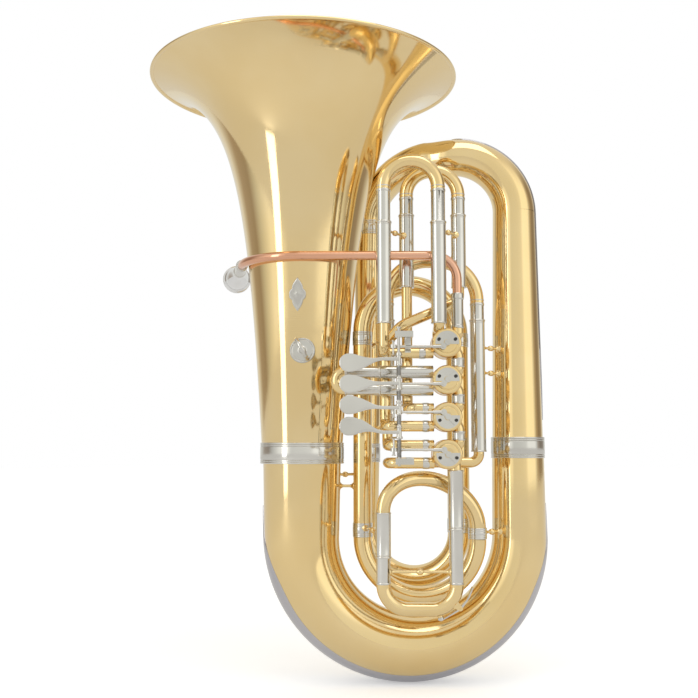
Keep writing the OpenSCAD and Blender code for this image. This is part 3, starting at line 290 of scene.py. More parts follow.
def maths(tree, kind, a, b):
    """One Math node; a and b are sockets or numbers."""
    node = tree.nodes.new("ShaderNodeMath")
    node.operation = kind
    for i, value in enumerate((a, b)):
        if isinstance(value, (int, float)):
            node.inputs[i].default_value = value
        else:
            tree.links.new(value, node.inputs[i])
    return node.outputs[0]


def noise(tree, vector, scale, detail=3.0):
    """A Noise Texture on a vector, its scale a socket or a number."""
    node = tree.nodes.new("ShaderNodeTexNoise")
    node.inputs["Detail"].default_value = detail
    tree.links.new(vector, node.inputs["Vector"])
    if isinstance(scale, (int, float)):
        node.inputs["Scale"].default_value = scale
    else:
        tree.links.new(scale, node.inputs["Scale"])
    return node.outputs["Fac"]


def stretched(tree, vector, scale):
    """The vector with each axis scaled, for streaks that run along one way."""
    node = tree.nodes.new("ShaderNodeMapping")
    node.inputs["Scale"].default_value = scale
    tree.links.new(vector, node.inputs["Vector"])
    return node.outputs["Vector"]


def make_surface_group():
    """Buffing streaks, soft dents, finger smears and a slow drift of tone on Object coordinates."""
    tree, inside, outside = group(
        "handled_metal",
        [("Streaks", 1.0), ("Waves", 1.0), ("Smears", 1.0)],
        [("Height", "NodeSocketFloat"), ("Smear", "NodeSocketFloat"), ("Tone", "NodeSocketFloat")],
    )
    where = tree.nodes.new("ShaderNodeTexCoord").outputs["Object"]
    streak = noise(tree, stretched(tree, where, (900, 900, 60)), 1.0, 2.0)
    cross_streak = noise(tree, stretched(tree, where, (120, 120, 1500)), 1.0, 2.0)
    wave = noise(tree, where, 9.0, 1.0)
    ripple = noise(tree, where, 34.0, 2.0)
    streaks = maths(tree, "MULTIPLY", maths(tree, "ADD", streak, cross_streak), 0.02)
    streaks = maths(tree, "MULTIPLY", streaks, inside.outputs["Streaks"])
    waves = maths(tree, "ADD", maths(tree, "MULTIPLY", wave, 0.9), maths(tree, "MULTIPLY", ripple, 0.12))
    waves = maths(tree, "MULTIPLY", waves, inside.outputs["Waves"])
    tree.links.new(maths(tree, "ADD", streaks, waves), outside.inputs["Height"])
    smear = ramp(tree, noise(tree, where, 26.0, 5.0), 0.45, 0.75, 0.0, 1.0)
    speck = ramp(tree, noise(tree, where, 380.0, 2.0), 0.66, 0.78, 0.0, 0.5)
    smear = maths(tree, "MULTIPLY", maths(tree, "ADD", smear, speck), inside.outputs["Smears"])
    tree.links.new(smear, outside.inputs["Smear"])
    tone = ramp(tree, noise(tree, where, 7.0, 3.0), 0.3, 0.7, 0.0, 1.0)
    tree.links.new(tone, outside.inputs["Tone"])
    return tree


def make_spun_group():
    """Fine turning rings about a vertical axis, from noise stretched thin along the height."""
    tree, inside, outside = group(
        "spinning_rings", [("Across", 0.0), ("Depth", 1.0)], [("Height", "NodeSocketFloat")]
    )
    where = tree.nodes.new("ShaderNodeTexCoord").outputs["Object"]
    ring = noise(tree, stretched(tree, where, (3, 3, 1400)), 1.0, 2.0)
    height = maths(tree, "MULTIPLY", ring, inside.outputs["Depth"])
    height = maths(tree, "ADD", height, inside.outputs["Across"])
    tree.links.new(height, outside.inputs["Height"])
    return tree


HANDLED = make_surface_group()
SPUN = make_spun_group()


def metal(name, light, deep, rough, smeared, marks, coat=0.0, rings=0.0, metallic=1.0):
    """Polished metal: tone between two colours, roughness raised by smears, bump from the marks."""
    material = bpy.data.materials.new(name)
    material.use_nodes = True
    tree = material.node_tree
    shader = tree.nodes["Principled BSDF"]
    shader.inputs["Metallic"].default_value = metallic
    shader.inputs["Coat Weight"].default_value = coat
    shader.inputs["Coat Roughness"].default_value = 0.03
    shader.inputs["Coat IOR"].default_value = 1.48
    life = tree.nodes.new("ShaderNodeGroup")
    life.node_tree = HANDLED
    for label, value in zip(("Streaks", "Waves", "Smears"), marks):
        life.inputs[label].default_value = value
    mix = tree.nodes.new("ShaderNodeMix")
    mix.data_type = "RGBA"
    mix.inputs[6].default_value = (*light, 1)
    mix.inputs[7].default_value = (*deep, 1)
    tree.links.new(life.outputs["Tone"], mix.inputs[0])
    tree.links.new(mix.outputs[2], shader.inputs["Base Color"])
    tree.links.new(ramp(tree, life.outputs["Smear"], 0, 1.5, rough, smeared), shader.inputs["Roughness"])
    height = life.outputs["Height"]
    if rings:
        spin = tree.nodes.new("ShaderNodeGroup")
        spin.node_tree = SPUN
        spin.inputs["Depth"].default_value = rings
        height = maths(tree, "ADD", height, spin.outputs["Height"])
    bump = tree.nodes.new("ShaderNodeBump")
    bump.inputs["Strength"].default_value = 0.5
    bump.inputs["Distance"].default_value = 0.0006
    tree.links.new(height, bump.inputs["Height"])
    tree.links.new(bump.outputs["Normal"], shader.inputs["Normal"])
    return material


FINISH = {
    "brass": metal("lacquered_brass", (0.90, 0.70, 0.37), (0.87, 0.65, 0.31), 0.085, 0.15, (1, 1, 1),
        0.5),
    "bell": metal("bell_brass", (0.90, 0.71, 0.39), (0.87, 0.66, 0.33), 0.075, 0.13, (1, 0.7, 1), 0.5,
        0.012),
    "turned": metal("turned_brass", (0.83, 0.58, 0.25), (0.74, 0.48, 0.18), 0.17, 0.27, (3, 0.2, 1)),
    "copper": metal("red_brass", (0.86, 0.50, 0.34), (0.80, 0.42, 0.26), 0.1, 0.17, (1, 0.6, 1), 0.5),
    "nickel": metal("nickel_silver", (0.74, 0.725, 0.685), (0.62, 0.605, 0.565), 0.13, 0.22, (2, 0.3, 1)),
    "guard": metal("guard_nickel", (0.60, 0.585, 0.61), (0.52, 0.51, 0.54), 0.16, 0.26, (2, 0.6, 1)),
    "silver": metal("silver_plate", (0.86, 0.86, 0.86), (0.76, 0.76, 0.77), 0.07, 0.15, (1, 0.2, 1)),
    "steel": metal("spring_steel", (0.34, 0.33, 0.31), (0.22, 0.21, 0.20), 0.28, 0.4, (2, 0, 1)),
    "rubber": metal("bumper_rubber", (0.05, 0.045, 0.04), (0.03, 0.028, 0.025), 0.6, 0.75, (2, 0, 1), 0,
        0, 0.0),
    "cork": metal("key_cork", (0.42, 0.28, 0.16), (0.25, 0.16, 0.09), 0.8, 0.9, (4, 0, 1), 0, 0, 0.0),
}

# ---- Bell and main bows ----

depth = BELL_LENGTH * np.linspace(0, 1, 150) ** 1.6
outer_r = bell_radius(depth)
slope = np.gradient(outer_r, depth)
outward = unit(np.stack([np.ones_like(slope), slope], 1))
outer = np.stack([outer_r, BELL_TOP - depth], 1)
inner = outer - BELL_WALL * outward
piece(
    "bell_flare",
    [(turned(np.concatenate([outer, inner[::-1]]), (BELL_X, 0, 0), sides=224), "bell")],
    "root", ["bell"],
)
bead = np.linspace(0, TAU, 28, endpoint=False)
bead = np.stack([RIM_R + 3 * np.cos(bead), BELL_TOP + 0.2 + 2.6 * np.sin(bead)], 1)
piece("bell_rim_bead", [(turned(bead, (BELL_X, 0, 0), sides=224), "bell")], "root",
      ["bell_rim_wire"])


def ring_band(x, y, z, r, height, thick):
    """A soldered band: two fine grooves close to each edge and a plain middle."""
    h = height / 2
    t = thick
    rows = [(r - 0.4, -h), (r + 0.6 * t, -h), (r + t, -h + 0.7), (r + t, -h + 2.2),
        (r + 0.55 * t, -h + 2.8),
            (r + t, -h + 3.4), (r + t, -h + 4.8), (r + 0.55 * t, -h + 5.4), (r + t, -h + 6)]
    rows += [(a, -b) for a, b in rows[::-1]]
    return turned(softened(rows, 0.25, 3), (x, y, z), sides=96)


piece(
    "joint_ferrules",
    [(ring_band(BELL_X, 0, BOW_JOINT, 59.0, 30, 1.6), "nickel"),
     (ring_band(HALF, 0, BRANCH_JOINT, 37.0, 30, 1.6), "nickel"),
     (ring_band(TUNING_X, TUNING_Y, 211.3, 12.3, 15.4, 0.9), "nickel"),
     (ring_band(BACK_X, BACK_Y, 217, BACK_R, 20, 0.9), "nickel"),
     (ring_band(BACK_X, BACK_Y, 488, BACK_R, 20, 0.9), "nickel"),
     (ring_band(FRONT_X, FRONT_Y, 213, FRONT_R, 20, 0.9), "nickel"),
     (ring_band(FRONT_X, FRONT_Y, 488, FRONT_R, 20, 0.9), "nickel")],
    "root", ["ferrules"],
)
turn = np.linspace(0, 1, 110)
bow_arc = np.stack([-HALF * np.cos(math.pi * turn), 0 * turn, BOW_Z - HALF * np.sin(math.pi * turn)], 1)
rise = np.linspace(0, 1, 12)[:, None]
start = np.array([[BELL_X, 0, BOW_JOINT]]) * (1 - rise) + bow_arc[:1] * rise
finish = bow_arc[-1:] * (1 - rise) + np.array([[HALF, 0, BRANCH_JOINT]]) * rise
bow_path = np.concatenate([start[:-1], bow_arc, finish[1:]])
bow_r = np.concatenate([56.5 - 2.5 * rise[:-1, 0], 54 - 15.5 * turn, 38.5 - 1.5 * rise[1:, 0]])
piece("bottom_bow_tube", [(swept(bow_path, bow_r, 1.2, 96), "brass")], "root",
    ["bottom_bow"])
inside = slice(7, len(bow_path) - 7)
run = np.linspace(0, 1, len(bow_path[inside]))
guard_half = np.radians(44) * np.minimum(ease(run * 6), ease((1 - run) * 6)) ** 0.5 + 0.01
piece(
    "bottom_bow_guard_sheet",
    [(band(bow_path[inside], bow_r[inside], 1.5, guard_half, (0, 1, 0), 28), "guard")],
    "root", ["bottom_bow_guard"], 60,
)
up = np.linspace(0, 1, 30)
branch = np.stack([HALF + 0 * up, 0 * up, BRANCH_JOINT + (BRANCH_TOP - BRANCH_JOINT) * up], 1)
branch_r = BRANCH_R - 0.6 + (TOP_R - BRANCH_R + 0.6) * up
piece("outer_branch_tube", [(swept(branch, branch_r, 1.2, 80), "brass")], "root",
      ["outer_branch"])
a = np.linspace(0, math.pi / 2, 40)
first = np.stack([HALF - TOP_BEND * (1 - np.cos(a)), 0 * a, BRANCH_TOP + TOP_BEND * np.sin(a)], 1)
second = np.stack([INNER_TOP_X + TOP_BEND * (1 - np.sin(a)), INNER_Y * (0.2 + 0.8 * np.sin(a)),
                   BRANCH_TOP + TOP_BEND * np.cos(a)], 1)
flat = np.linspace(0, 1, 14)[1:-1, None]
level = np.concatenate([first[-1:] * (1 - flat) + second[:1] * flat])
level[:, 1] = INNER_Y * 0.2 * ease(flat[:, 0])
top_path = np.concatenate([first, level, second])
top_r = np.interp(np.arange(len(top_path)), [0, 39.5, 52, 91], [TOP_R, 27.0, 26.5, INNER_R])
piece("top_bow_tube", [(swept(top_path, top_r, 1.2, 80), "brass")], "root",
    ["top_bow"])
low_run = np.stack([HALF + 0 * up, 0 * up, 370 + (BRANCH_TOP - 370) * up], 1)[:-1]
guard_path = np.concatenate([low_run, top_path[:42]])
guard_r = np.concatenate([np.interp(low_run[:, 2], branch[:, 2], branch_r), top_r[:42]])
run = np.linspace(0, 1, len(guard_path))
guard_half = np.radians(24) * np.minimum(ease(run * 5), ease((1 - run) * 14)) ** 0.5 + 0.008
piece(
    "top_bow_guard_sheet",
    [(band(guard_path, guard_r, 1.5, guard_half, (0, 1, 0), 16), "guard")],
    "root", ["top_bow_guard"], 60,
)

# ---- Inner bows ----


def taper(a, b, n):
    """Evenly spaced radii from a to b."""
    return np.linspace(a, b, n)


def upright(x, y, z0, z1, r, wall=1.2, sides=56):
    """A plain straight tube along Z."""
    return swept([(x, y, z0), (x, y, z1)], r, wall, sides)


piece(
    "inner_branch_tube",
    [(swept([(INNER_X, INNER_Y, 207), (INNER_TOP_X, INNER_Y, BRANCH_TOP)], [INNER_LOW_R, INNER_R], 1.2,
        64),
      "brass"),
     (ring_band(INNER_TOP_X, INNER_Y, BRANCH_TOP - 8, INNER_R + 0.1, 22, 1.0), "nickel"),
     (ring_band(INNER_X + 1.2, INNER_Y, 322, 19.0, 28, 1.0), "nickel")],
    "root", ["inner_branch"],
)
piece(
    "back_bottom_bow_tube",
    [(swept(arch(INNER_X, INNER_Y, BACK_X, BACK_Y, 207, -1), taper(INNER_LOW_R, BACK_R, 49), 1.2, 56),
        "brass")],
    "root", ["back_bottom_bow"],
)
piece(
    "back_branch_tube",
    [(upright(BACK_X, BACK_Y, 207, 498, BACK_R), "brass")],
    "root", ["back_branch"],
)
piece(
    "inner_top_bow_tube",
    [(swept(arch(BACK_X, BACK_Y, FRONT_X, FRONT_Y, 498, 1), taper(BACK_R, FRONT_R, 49), 1.2, 56),
        "brass")],
    "root", ["inner_top_bow"],
)
piece(
    "front_branch_tube",
    [(upright(FRONT_X, FRONT_Y, 203, 498, FRONT_R), "brass")],
    "root", ["front_branch"],
)
piece(
    "inner_bottom_bow_tube",
    [(swept(arch(FRONT_X, FRONT_Y, TUNING_X, TUNING_Y, 203, -1), taper(FRONT_R, TUNING_R, 49), 1.2, 56),
      "brass")],
    "root", ["inner_bottom_bow"],
)
T_LEFT, T_RIGHT = -42.3, 56.0
T_TOP = VALVE_Z[3] - 9 - 8.4 - 4
over = arch(TUNING_X, TUNING_Y, T_LEFT, LINE_Y, 220, 1)
a = np.linspace(0, math.pi, len(over))
over[:, 2] = 220 + 12 * (1 - np.cos(a)) + ((TUNING_X - T_LEFT) / 2 - 12) * np.sin(a)
piece(
    "tuning_bow_tube",
    [(swept(np.concatenate([[(TUNING_X, TUNING_Y, 203.2)], over, [(T_LEFT, LINE_Y, 243)]]),
            np.concatenate([[TUNING_R - 0.4], taper(TUNING_R - 0.4, SLIDE_R, 49), [SLIDE_R]]), 0.9, 48),
                "brass")],
    "root", ["tuning_bow"],
)


def slide_sleeve(x, y, z0, z1, open_up, along=(0, 0, 1), r=SLEEVE_R, bore=SLIDE_R + 0.05):
    """An outer slide tube: plain wall, a rounded bead at the open end and a thin ring at the foot."""
    n = z1 - z0
    rows = [(bore, 0), (r + 0.2, 0), (r + 0.55, 0.6), (r + 0.55, 1.6), (r, 2.2), (r, n - 5.2),
        (r + 0.3, n - 5),
            (r + 0.3, n - 4), (r, n - 3.8), (r, n - 3), (r + 0.9, n - 2.4), (r + 1.0, n - 1.2),
                (r + 0.5, n),
            (bore, n)]
    rows = np.array(rows)
    if not open_up:
        rows[:, 1] = n - rows[:, 1]
    return turned(softened(rows, 0.3, 3), np.array([x, y, z0]), along, 56)


piece(
    "tuning_slide_sleeves",
    [(slide_sleeve(T_LEFT, LINE_Y, 182, 243, False), "nickel"),
     (slide_sleeve(T_RIGHT, LINE_Y, 219, T_TOP, False), "nickel")],
    "root", ["tuning_sleeves"],
)


def bead_ring(at, along, r, width=3.0, lift=0.7):
    """A thin ring with a round back, soldered over a joint."""
    h = width / 2
    rows = [(r - 0.3, -h), (r + 0.5 * lift, -h), (r + lift, -0.4 * h), (r + lift, 0.4 * h),
        (r + 0.5 * lift, h),
            (r - 0.3, h)]
    return turned(softened(rows, 0.4, 4), at, along, 56)


def stay(a, b, ra, rb, r=2.2):
    """A turned stay: flared foot, slim rod, round knob in the middle, and the same again."""
    a, b = np.asarray(a, float), np.asarray(b, float)
    d = unit(b - a)
    n = np.linalg.norm(b - a) - ra - rb + 3
    s = np.linspace(0, n, 60)
    foot = (r + 3.4) * np.exp(-((np.minimum(s, n - s) / 3.2) ** 2)) * 0.75
    knob = 2.3 * np.sqrt(np.clip(1 - ((s - n / 2) / 4.2) ** 2, 0, 1)) if n > 24 else 0 * s
    rows = np.stack([np.maximum(r * 0.86 + foot, r * 0.86 + knob), s], 1)
    rows = np.concatenate([[(0, 0)], rows, [(0, n)]])
    return turned(rows, a + d * (ra - 1.5), d, 28, closed=False)


crook = route([(T_LEFT, LINE_Y, 148), (T_LEFT, LINE_Y, 114.5), (T_RIGHT, LINE_Y, 114.5),
    (T_RIGHT, LINE_Y, 148)],
              33, 3)
piece(
    "tuning_slide_crook",
    [(swept(crook, SLIDE_R, 0.8, 52), "brass"),
     (upright(T_LEFT, LINE_Y, 148, 241, SLIDE_R, 0.8, 52), "nickel"),
     (upright(T_RIGHT, LINE_Y, 148, T_TOP - 18, SLIDE_R, 0.8, 52), "nickel"),
     (bead_ring((T_LEFT, LINE_Y, 149), (0, 0, 1), SLIDE_R), "nickel"),
     (bead_ring((T_RIGHT, LINE_Y, 149), (0, 0, 1), SLIDE_R), "nickel"),
     (stay((T_LEFT, LINE_Y, 164), (T_RIGHT, LINE_Y, 164), SLIDE_R, SLIDE_R, 2.4), "brass")],
    "tuning_slide", ["tuning_slide"],
)

# ---- Leadpipe and mouthpiece ----

half = math.radians(40)
corner = np.array([BELL_X + WRAP_R / math.cos(half) * math.cos(math.radians(230)),
                   WRAP_R / math.cos(half) * math.sin(math.radians(230)), PIPE_Z])
drop = np.array([LINE_X, corner[1], 542.0])
tail = np.array([math.sin(math.radians(190)), -math.cos(math.radians(190)), 0])
PIPE_END = corner + tail * (WRAP_R * math.tan(half) + 0.1)
pipe = route([drop, (LINE_X, corner[1], PIPE_Z), corner, PIPE_END], [0, 34, WRAP_R, 0], 3)
piece("leadpipe_tube", [(swept(pipe, PIPE_R, 0.9, 44), "copper")], "root", ["leadpipe"])
rows = [(5.5, 0.1), (7.6, 0.1), (8.6, 1.5), (8.6, 3.5), (8.0, 5), (8.4, 8), (8.4, 47), (9.4, 49),
    (9.6, 52),
        (9.2, 55), (6.85, 55), (6.25, 29), (5.3, 27)]
piece("receiver", [(turned(softened(rows, 0.4), PIPE_END, tail, 64), "nickel")], "root",
      ["mouthpiece_receiver"])
s0 = 30.0
rows = [(4.4, 0), (6.2, 0), (6.8, 25), (7.2, 40), (8.0, 47), (9.4, 52), (11.6, 58), (14.4, 65),
    (16.6, 72),
        (17.6, 80), (18.0, 84), (18.3, 88), (20.0, 90.2), (21.6, 91.4), (22, 93.5), (21.2, 95.6),
            (18.4, 96.8),
        (15.8, 95), (14.5, 86), (13.4, 78), (11, 70), (7.2, 62), (5, 58), (4, 50)]
rows = np.array(rows) + [0, s0]
piece("mouthpiece_cup", [(turned(softened(rows, 1.2, 5), PIPE_END, tail, 80), "silver")], "mouthpiece",
      ["mouthpiece"])
rows = [(5.5, 493), (8.4, 493), (8.8, 494), (8.8, 497), (8.2, 498), (8.2, 533), (9, 534.5), (9, 540),
    (8.2, 542),
        (5.5, 542)]
piece("inlet_sleeve", [(turned(softened(rows, 0.4), (LINE_X, LINE_Y, 0)), "nickel")], "root",
      ["inlet_tube"])

# ---- Valves ----


def knuckle(points):
    """A bent connecting tube between valves, its ends inside the casings."""
    return swept(route(points, 8.4, 4), 7.9, 0.9, 44)


runs = []
for i in range(3):
    z0, z1 = VALVE_Z[i] - 9, VALVE_Z[i + 1] + 9
    runs.append((knuckle([(54, LINE_Y, z0), (LINE_X, LINE_Y, z0), (LINE_X, LINE_Y, z1),
        (54, LINE_Y, z1)]), "brass"))
    rows = [(7.95, -6.5), (8.7, -6.5), (9.1, -5.6), (9.1, -4.8), (8.7, -4.2), (8.7, 4.2), (9.1, 4.8),
        (9.1, 5.6),
            (8.7, 6.5), (7.95, 6.5)]
    runs.append((turned(softened(rows, 0.25), (LINE_X, LINE_Y, VALVE_Z[i] - 25)), "nickel"))
top = VALVE_Z[0]
runs.append((knuckle([(LINE_X, LINE_Y, top + 22), (LINE_X, LINE_Y, top + 9), (54, LINE_Y, top + 9)]),
    "brass"))
low = VALVE_Z[3] - 9
runs.append((knuckle([(47, LINE_Y, low), (T_RIGHT, LINE_Y, low), (T_RIGHT, LINE_Y, T_TOP)]), "brass"))
piece("valve_knuckles", runs, "root", ["knuckles"])

casing = [(17.05, CASING_FRONT), (19.4, CASING_FRONT), (20, CASING_FRONT + 0.8), (20, CASING_FRONT + 4.2),
          (19.6, CASING_FRONT + 4.6), (19.6, CASING_BACK - 4.6), (20, CASING_BACK - 4.2),
              (20, CASING_BACK - 0.8),
          (19.4, CASING_BACK), (17.05, CASING_BACK)]
piece(
    "valve_shells",
    [(turned(softened(casing, 0.3), (VALVE_X, 0, z), (0, 1, 0), 88), "turned") for z in VALVE_Z],
    "root", ["valve_casings"],
)
cap = [(3.05, CASING_FRONT), (3.05, CAP_Y), (13.2, CAP_Y), (13.5, CAP_Y + 0.4), (14.1, CAP_Y + 0.4),
       (14.4, CAP_Y), (17.2, CAP_Y), (18.6, CAP_Y + 0.3), (19.2, CAP_Y + 1.1), (19.2, CASING_FRONT)]
piece(
    "valve_front_caps",
    [(turned(softened(cap, 0.25), (VALVE_X, 0, z), (0, 1, 0), 88), "brass") for z in VALVE_Z],
    "root", ["valve_caps"],
)
end = CASING_BACK + 2.5
cover = [(0, CASING_BACK), (19.2, CASING_BACK), (19.2, end - 0.8), (18.2, end), (11, end),
    (10.4, end - 0.5),
         (9.8, end - 0.5), (9.2, end), (0, end)]
piece(
    "valve_screw_caps",
    [(turned(softened(cover, 0.3, closed=False), (VALVE_X, 0, z), (0, 1, 0), 88, False), "brass")
     for z in VALVE_Z],
    "root", ["valve_back_caps"],
)

# ---- Levers ----


def paddle(i):
    """Teardrop paddle that narrows to its arm: the half width is a circle, then a cosine, and
    each section is a rounded slab."""
    drop = LEVER_Z[i] - PADDLE_Z[i]
    s = np.concatenate([12.2 * -np.cos(np.linspace(0, math.pi / 2, 26)), np.linspace(1, LEVER_REACH, 50)])
    round_end = np.sqrt(np.clip(12.2**2 - s**2, 0, None))
    neck = 2.3 + 9.9 * (1 + np.cos(math.pi * np.clip(s / 41, 0, 1))) / 2
    width = np.where(s < 0, round_end, neck)
    width[0] = 0.01
    a = np.linspace(0, TAU, 32, endpoint=False)
    across = np.sign(np.cos(a)) * np.abs(np.cos(a)) ** 0.8
    through = np.sign(np.sin(a)) * np.abs(np.sin(a)) ** 0.35
    thick = np.interp(s, [-12.2, -11.2, -9, 30, LEVER_REACH], [0.1, 0.8, 1.0, 1.0, 1.3])
    shift = drop * ease((s - 16) / 30)
    x = HINGE_X - LEVER_REACH + s[:, None] + 0 * a
    dish = 0.5 * np.exp(-((s / 12) ** 2))[:, None] * (1 - np.cos(a) ** 2)
    y = HINGE_Y - 3.4 + thick[:, None] * through + dish
    z = PADDLE_Z[i] + shift[:, None] + width[:, None] * across
    grid = np.stack([x, y, z], -1)
    return np.concatenate([grid[:1].mean(1, keepdims=True).repeat(32, 1), grid,
                           grid[-1:].mean(1, keepdims=True).repeat(32, 1)])


for i in range(4):
    z, zp, zr = LEVER_Z[i], PLATE_Z[i], ROD_Z[i]
    toward = 1 if zr > zp else -1
    pin_end = zr + toward * 8
    eye = np.array([HINGE_X - LEVER_THROW, HINGE_Y + DRIVE_Y])
    barrel = [(2.05, -9), (3.4, -9), (3.8, -8.4), (3.8, -6.6), (3.3, -6), (3.3, 6), (3.8, 6.6),
        (3.8, 8.4), (3.4, 9),
              (2.05, 9)]
    arm = np.linspace(0, 1, 12)[:, None] * (eye - [HINGE_X, HINGE_Y]) + [HINGE_X, HINGE_Y]
    arm_path = np.concatenate([arm, np.full((12, 1), zp)], 1)
    a = np.linspace(0, TAU, 20, endpoint=False)
    flat_u = np.array([-(eye - [HINGE_X, HINGE_Y])[1], (eye - [HINGE_X, HINGE_Y])[0], 0])
    flat_u = unit(flat_u)
    slab = arm_path[:, None] + 2.6 * np.sign(np.cos(a))[None, :, None] * (
        np.abs(np.cos(a)) ** 0.6)[None, :, None] * flat_u + 1.2 * (
        np.sign(np.sin(a)) * np.abs(np.sin(a)) ** 0.5)[None, :, None] * np.array([0, 0, 1])
    slab = np.concatenate([slab[:1].mean(1, keepdims=True).repeat(20, 1), slab,
                           slab[-1:].mean(1, keepdims=True).repeat(20, 1)])
    lo, hi = min(zp, pin_end), max(zp, pin_end)
    pin = [(0, lo), (1.5, lo), (1.5, hi), (0, hi)]
    knob = np.array([(0, -0.8), (2.6, -0.8), (2.6, 0.8), (0, 0.8)]) + [0, pin_end - toward * 0.8]
    eye_disc = np.array([(0, -1.2), (3.2, -1.2), (3.2, 1.2), (0, 1.2)]) + [0, zp]
    hub = np.array([(2.05, -1.4), (4.6, -1.4), (4.6, 1.4), (2.05, 1.4)]) + [0, zp]
    piece(
        f"finger_lever_{i + 1}",
        [(paddle(i), "nickel"),
         (turned(softened(barrel, 0.3), (HINGE_X, HINGE_Y, z), sides=40), "nickel"),
         (turned(softened(hub, 0.3), (HINGE_X, HINGE_Y, 0), sides=40), "nickel"),
         (slab, "nickel"),
         (turned(softened(pin, 0.3, closed=False), (*eye, 0), sides=28, closed=False), "nickel"),
         (turned(softened(knob, 0.5, closed=False), (*eye, 0), sides=28, closed=False), "nickel"),
         (turned(softened(eye_disc, 0.4, closed=False), (*eye, 0), sides=28, closed=False), "nickel")],
        f"lever_{i + 1}", [f"lever_{i + 1}"],
    )


def coil(z0, z1):
    """A helix of round wire about the hinge rod, with its turns evenly spaced."""
    turns = round((z1 - z0) / 1.55)
    t = np.linspace(0, 1, turns * 16 + 1)
    a = TAU * turns * t
    path = np.stack([HINGE_X + 2.75 * np.cos(a), HINGE_Y + 2.75 * np.sin(a),
        z0 + 0.5 + (z1 - z0 - 1) * t], 1)
    tangent = unit(np.gradient(path, axis=0))
    v = unit(np.cross(tangent, [0, 0, 1]))
    u = np.cross(v, tangent)
    b = np.linspace(0, TAU, 8, endpoint=False)[None, :, None]
    wire = path[:, None] + 0.5 * (np.cos(b) * u[:, None] + np.sin(b) * v[:, None])
    return np.concatenate([path[:1, None].repeat(8, 1), wire, path[-1:, None].repeat(8, 1)])


piece(
    "lever_coils",
    [(coil(LEVER_Z[i + 1] + 9.5 if i < 3 else 316.5, LEVER_Z[i] - 9.5), "steel") for i in range(4)],
    "root", ["lever_springs"],
)
rows = [(0, 306), (1.6, 306), (2, 306.5), (2, 487), (3.2, 487), (3.4, 487.4), (3.4, 488.5), (2.8, 489),
    (0, 489)]
piece("lever_hinge_rod", [(turned(softened(rows, 0.2, closed=False), (HINGE_X, HINGE_Y, 0), sides=32,
    closed=False),
                           "nickel")], "root", ["hinge_rod"])

# ---- Valve loops and their slides ----


def loop(points, bend):
    """A valve tube through its corner points."""
    return swept(route(points, bend, 4), LOOP_R, 0.9, 40)


def socket(x, y, z0, z1):
    """A sleeve whose foot stands over the loop tube."""
    return slide_sleeve(x, y, z0 - 6, z1, True, bore=LOOP_R + 0.05)


L1, R1, Y1, TOP1, LOW1 = -41.5, 33.5, -112.0, 638.0, 503.0
L3, R3, Y3, TOP3, LOW3 = -7.0, 66.5, -62.0, 659.0, 560.0
L4, R4, Y4, TOP4, LOW4, LOW4R = -34.0, 95.0, -37.5, 512.0, 356.0, 330.0
z = VALVE_Z[0] - 12
piece(
    "first_loop",
    [(loop([(27, LINE_Y, z), (L1, LINE_Y, z), (L1, Y1, z), (L1, Y1, LOW1)], 10), "brass"),
     (loop([(R1, LINE_Y, 488), (R1, LINE_Y, LOW1 - 12), (R1, Y1, LOW1 - 12), (R1, Y1, LOW1)],
         [0, 9.5, 9.5, 0]),
      "brass"),
     (bead_ring((12, LINE_Y, z), (1, 0, 0), LOOP_R, 9), "nickel"),
     (socket(L1, Y1, LOW1, TOP1), "nickel"), (socket(R1, Y1, LOW1, TOP1), "nickel")],
    "root", ["loop_1"],
)
tubes = []
for s in (-1, 1):
    at = np.array([-48.0, LINE_Y, VALVE_Z[1] + 12 * s])
    n = 74.5
    rows = [(8.05, 0), (9.2, 0), (9.7, 0.8), (9.7, 2), (8.8, 2.6), (8.8, n), (8.05, n)]
    tubes.append((turned(softened(rows, 0.3), at, (1, 0, 0), 48), "nickel"))
piece("second_loop_sleeves", tubes, "root", ["loop_2"])
knots = np.array([(-38, Y3, 458.1), (-38, Y3, 474), (-16, -84, 498), (22, -84, 514), (R3, Y3, 536),
    (R3, Y3, 560)])
cut, t = 9.0, np.linspace(0, 1, 12)[:, None]
parts = [knots[:1]]
for i in range(1, 5):
    a = knots[i] - cut * unit(knots[i] - knots[i - 1])
    b = knots[i] + cut * unit(knots[i + 1] - knots[i])
    parts.append((1 - t) ** 2 * a + 2 * t * (1 - t) * knots[i] + t**2 * b)
slant = np.concatenate(parts + [knots[-1:]])
zu, zl = VALVE_Z[2] + 12, VALVE_Z[2] - 12
piece(
    "third_loop",
    [(loop([(27, LINE_Y, zu), (L3, LINE_Y, zu), (L3, Y3, zu), (L3, Y3, LOW3)], 12.5), "brass"),
     (loop([(27, LINE_Y, zl), (-38, LINE_Y, zl), (-38, Y3, zl), (-38, Y3, 458.2)], 12.5), "brass"),
     (swept(slant, LOOP_R, 0.9, 40), "brass"),
     (bead_ring((16, LINE_Y, zl), (1, 0, 0), LOOP_R, 9), "nickel"),
     (bead_ring((16, LINE_Y, zu), (1, 0, 0), LOOP_R, 9), "nickel"),
     (ring_band(-38, Y3, 458, LOOP_R, 14, 0.9), "nickel"),
     (socket(L3, Y3, LOW3, TOP3), "nickel"), (socket(R3, Y3, LOW3, TOP3), "nickel")],
    "root", ["loop_3"],
)
zu, zl = VALVE_Z[3] + 12, VALVE_Z[3] - 12
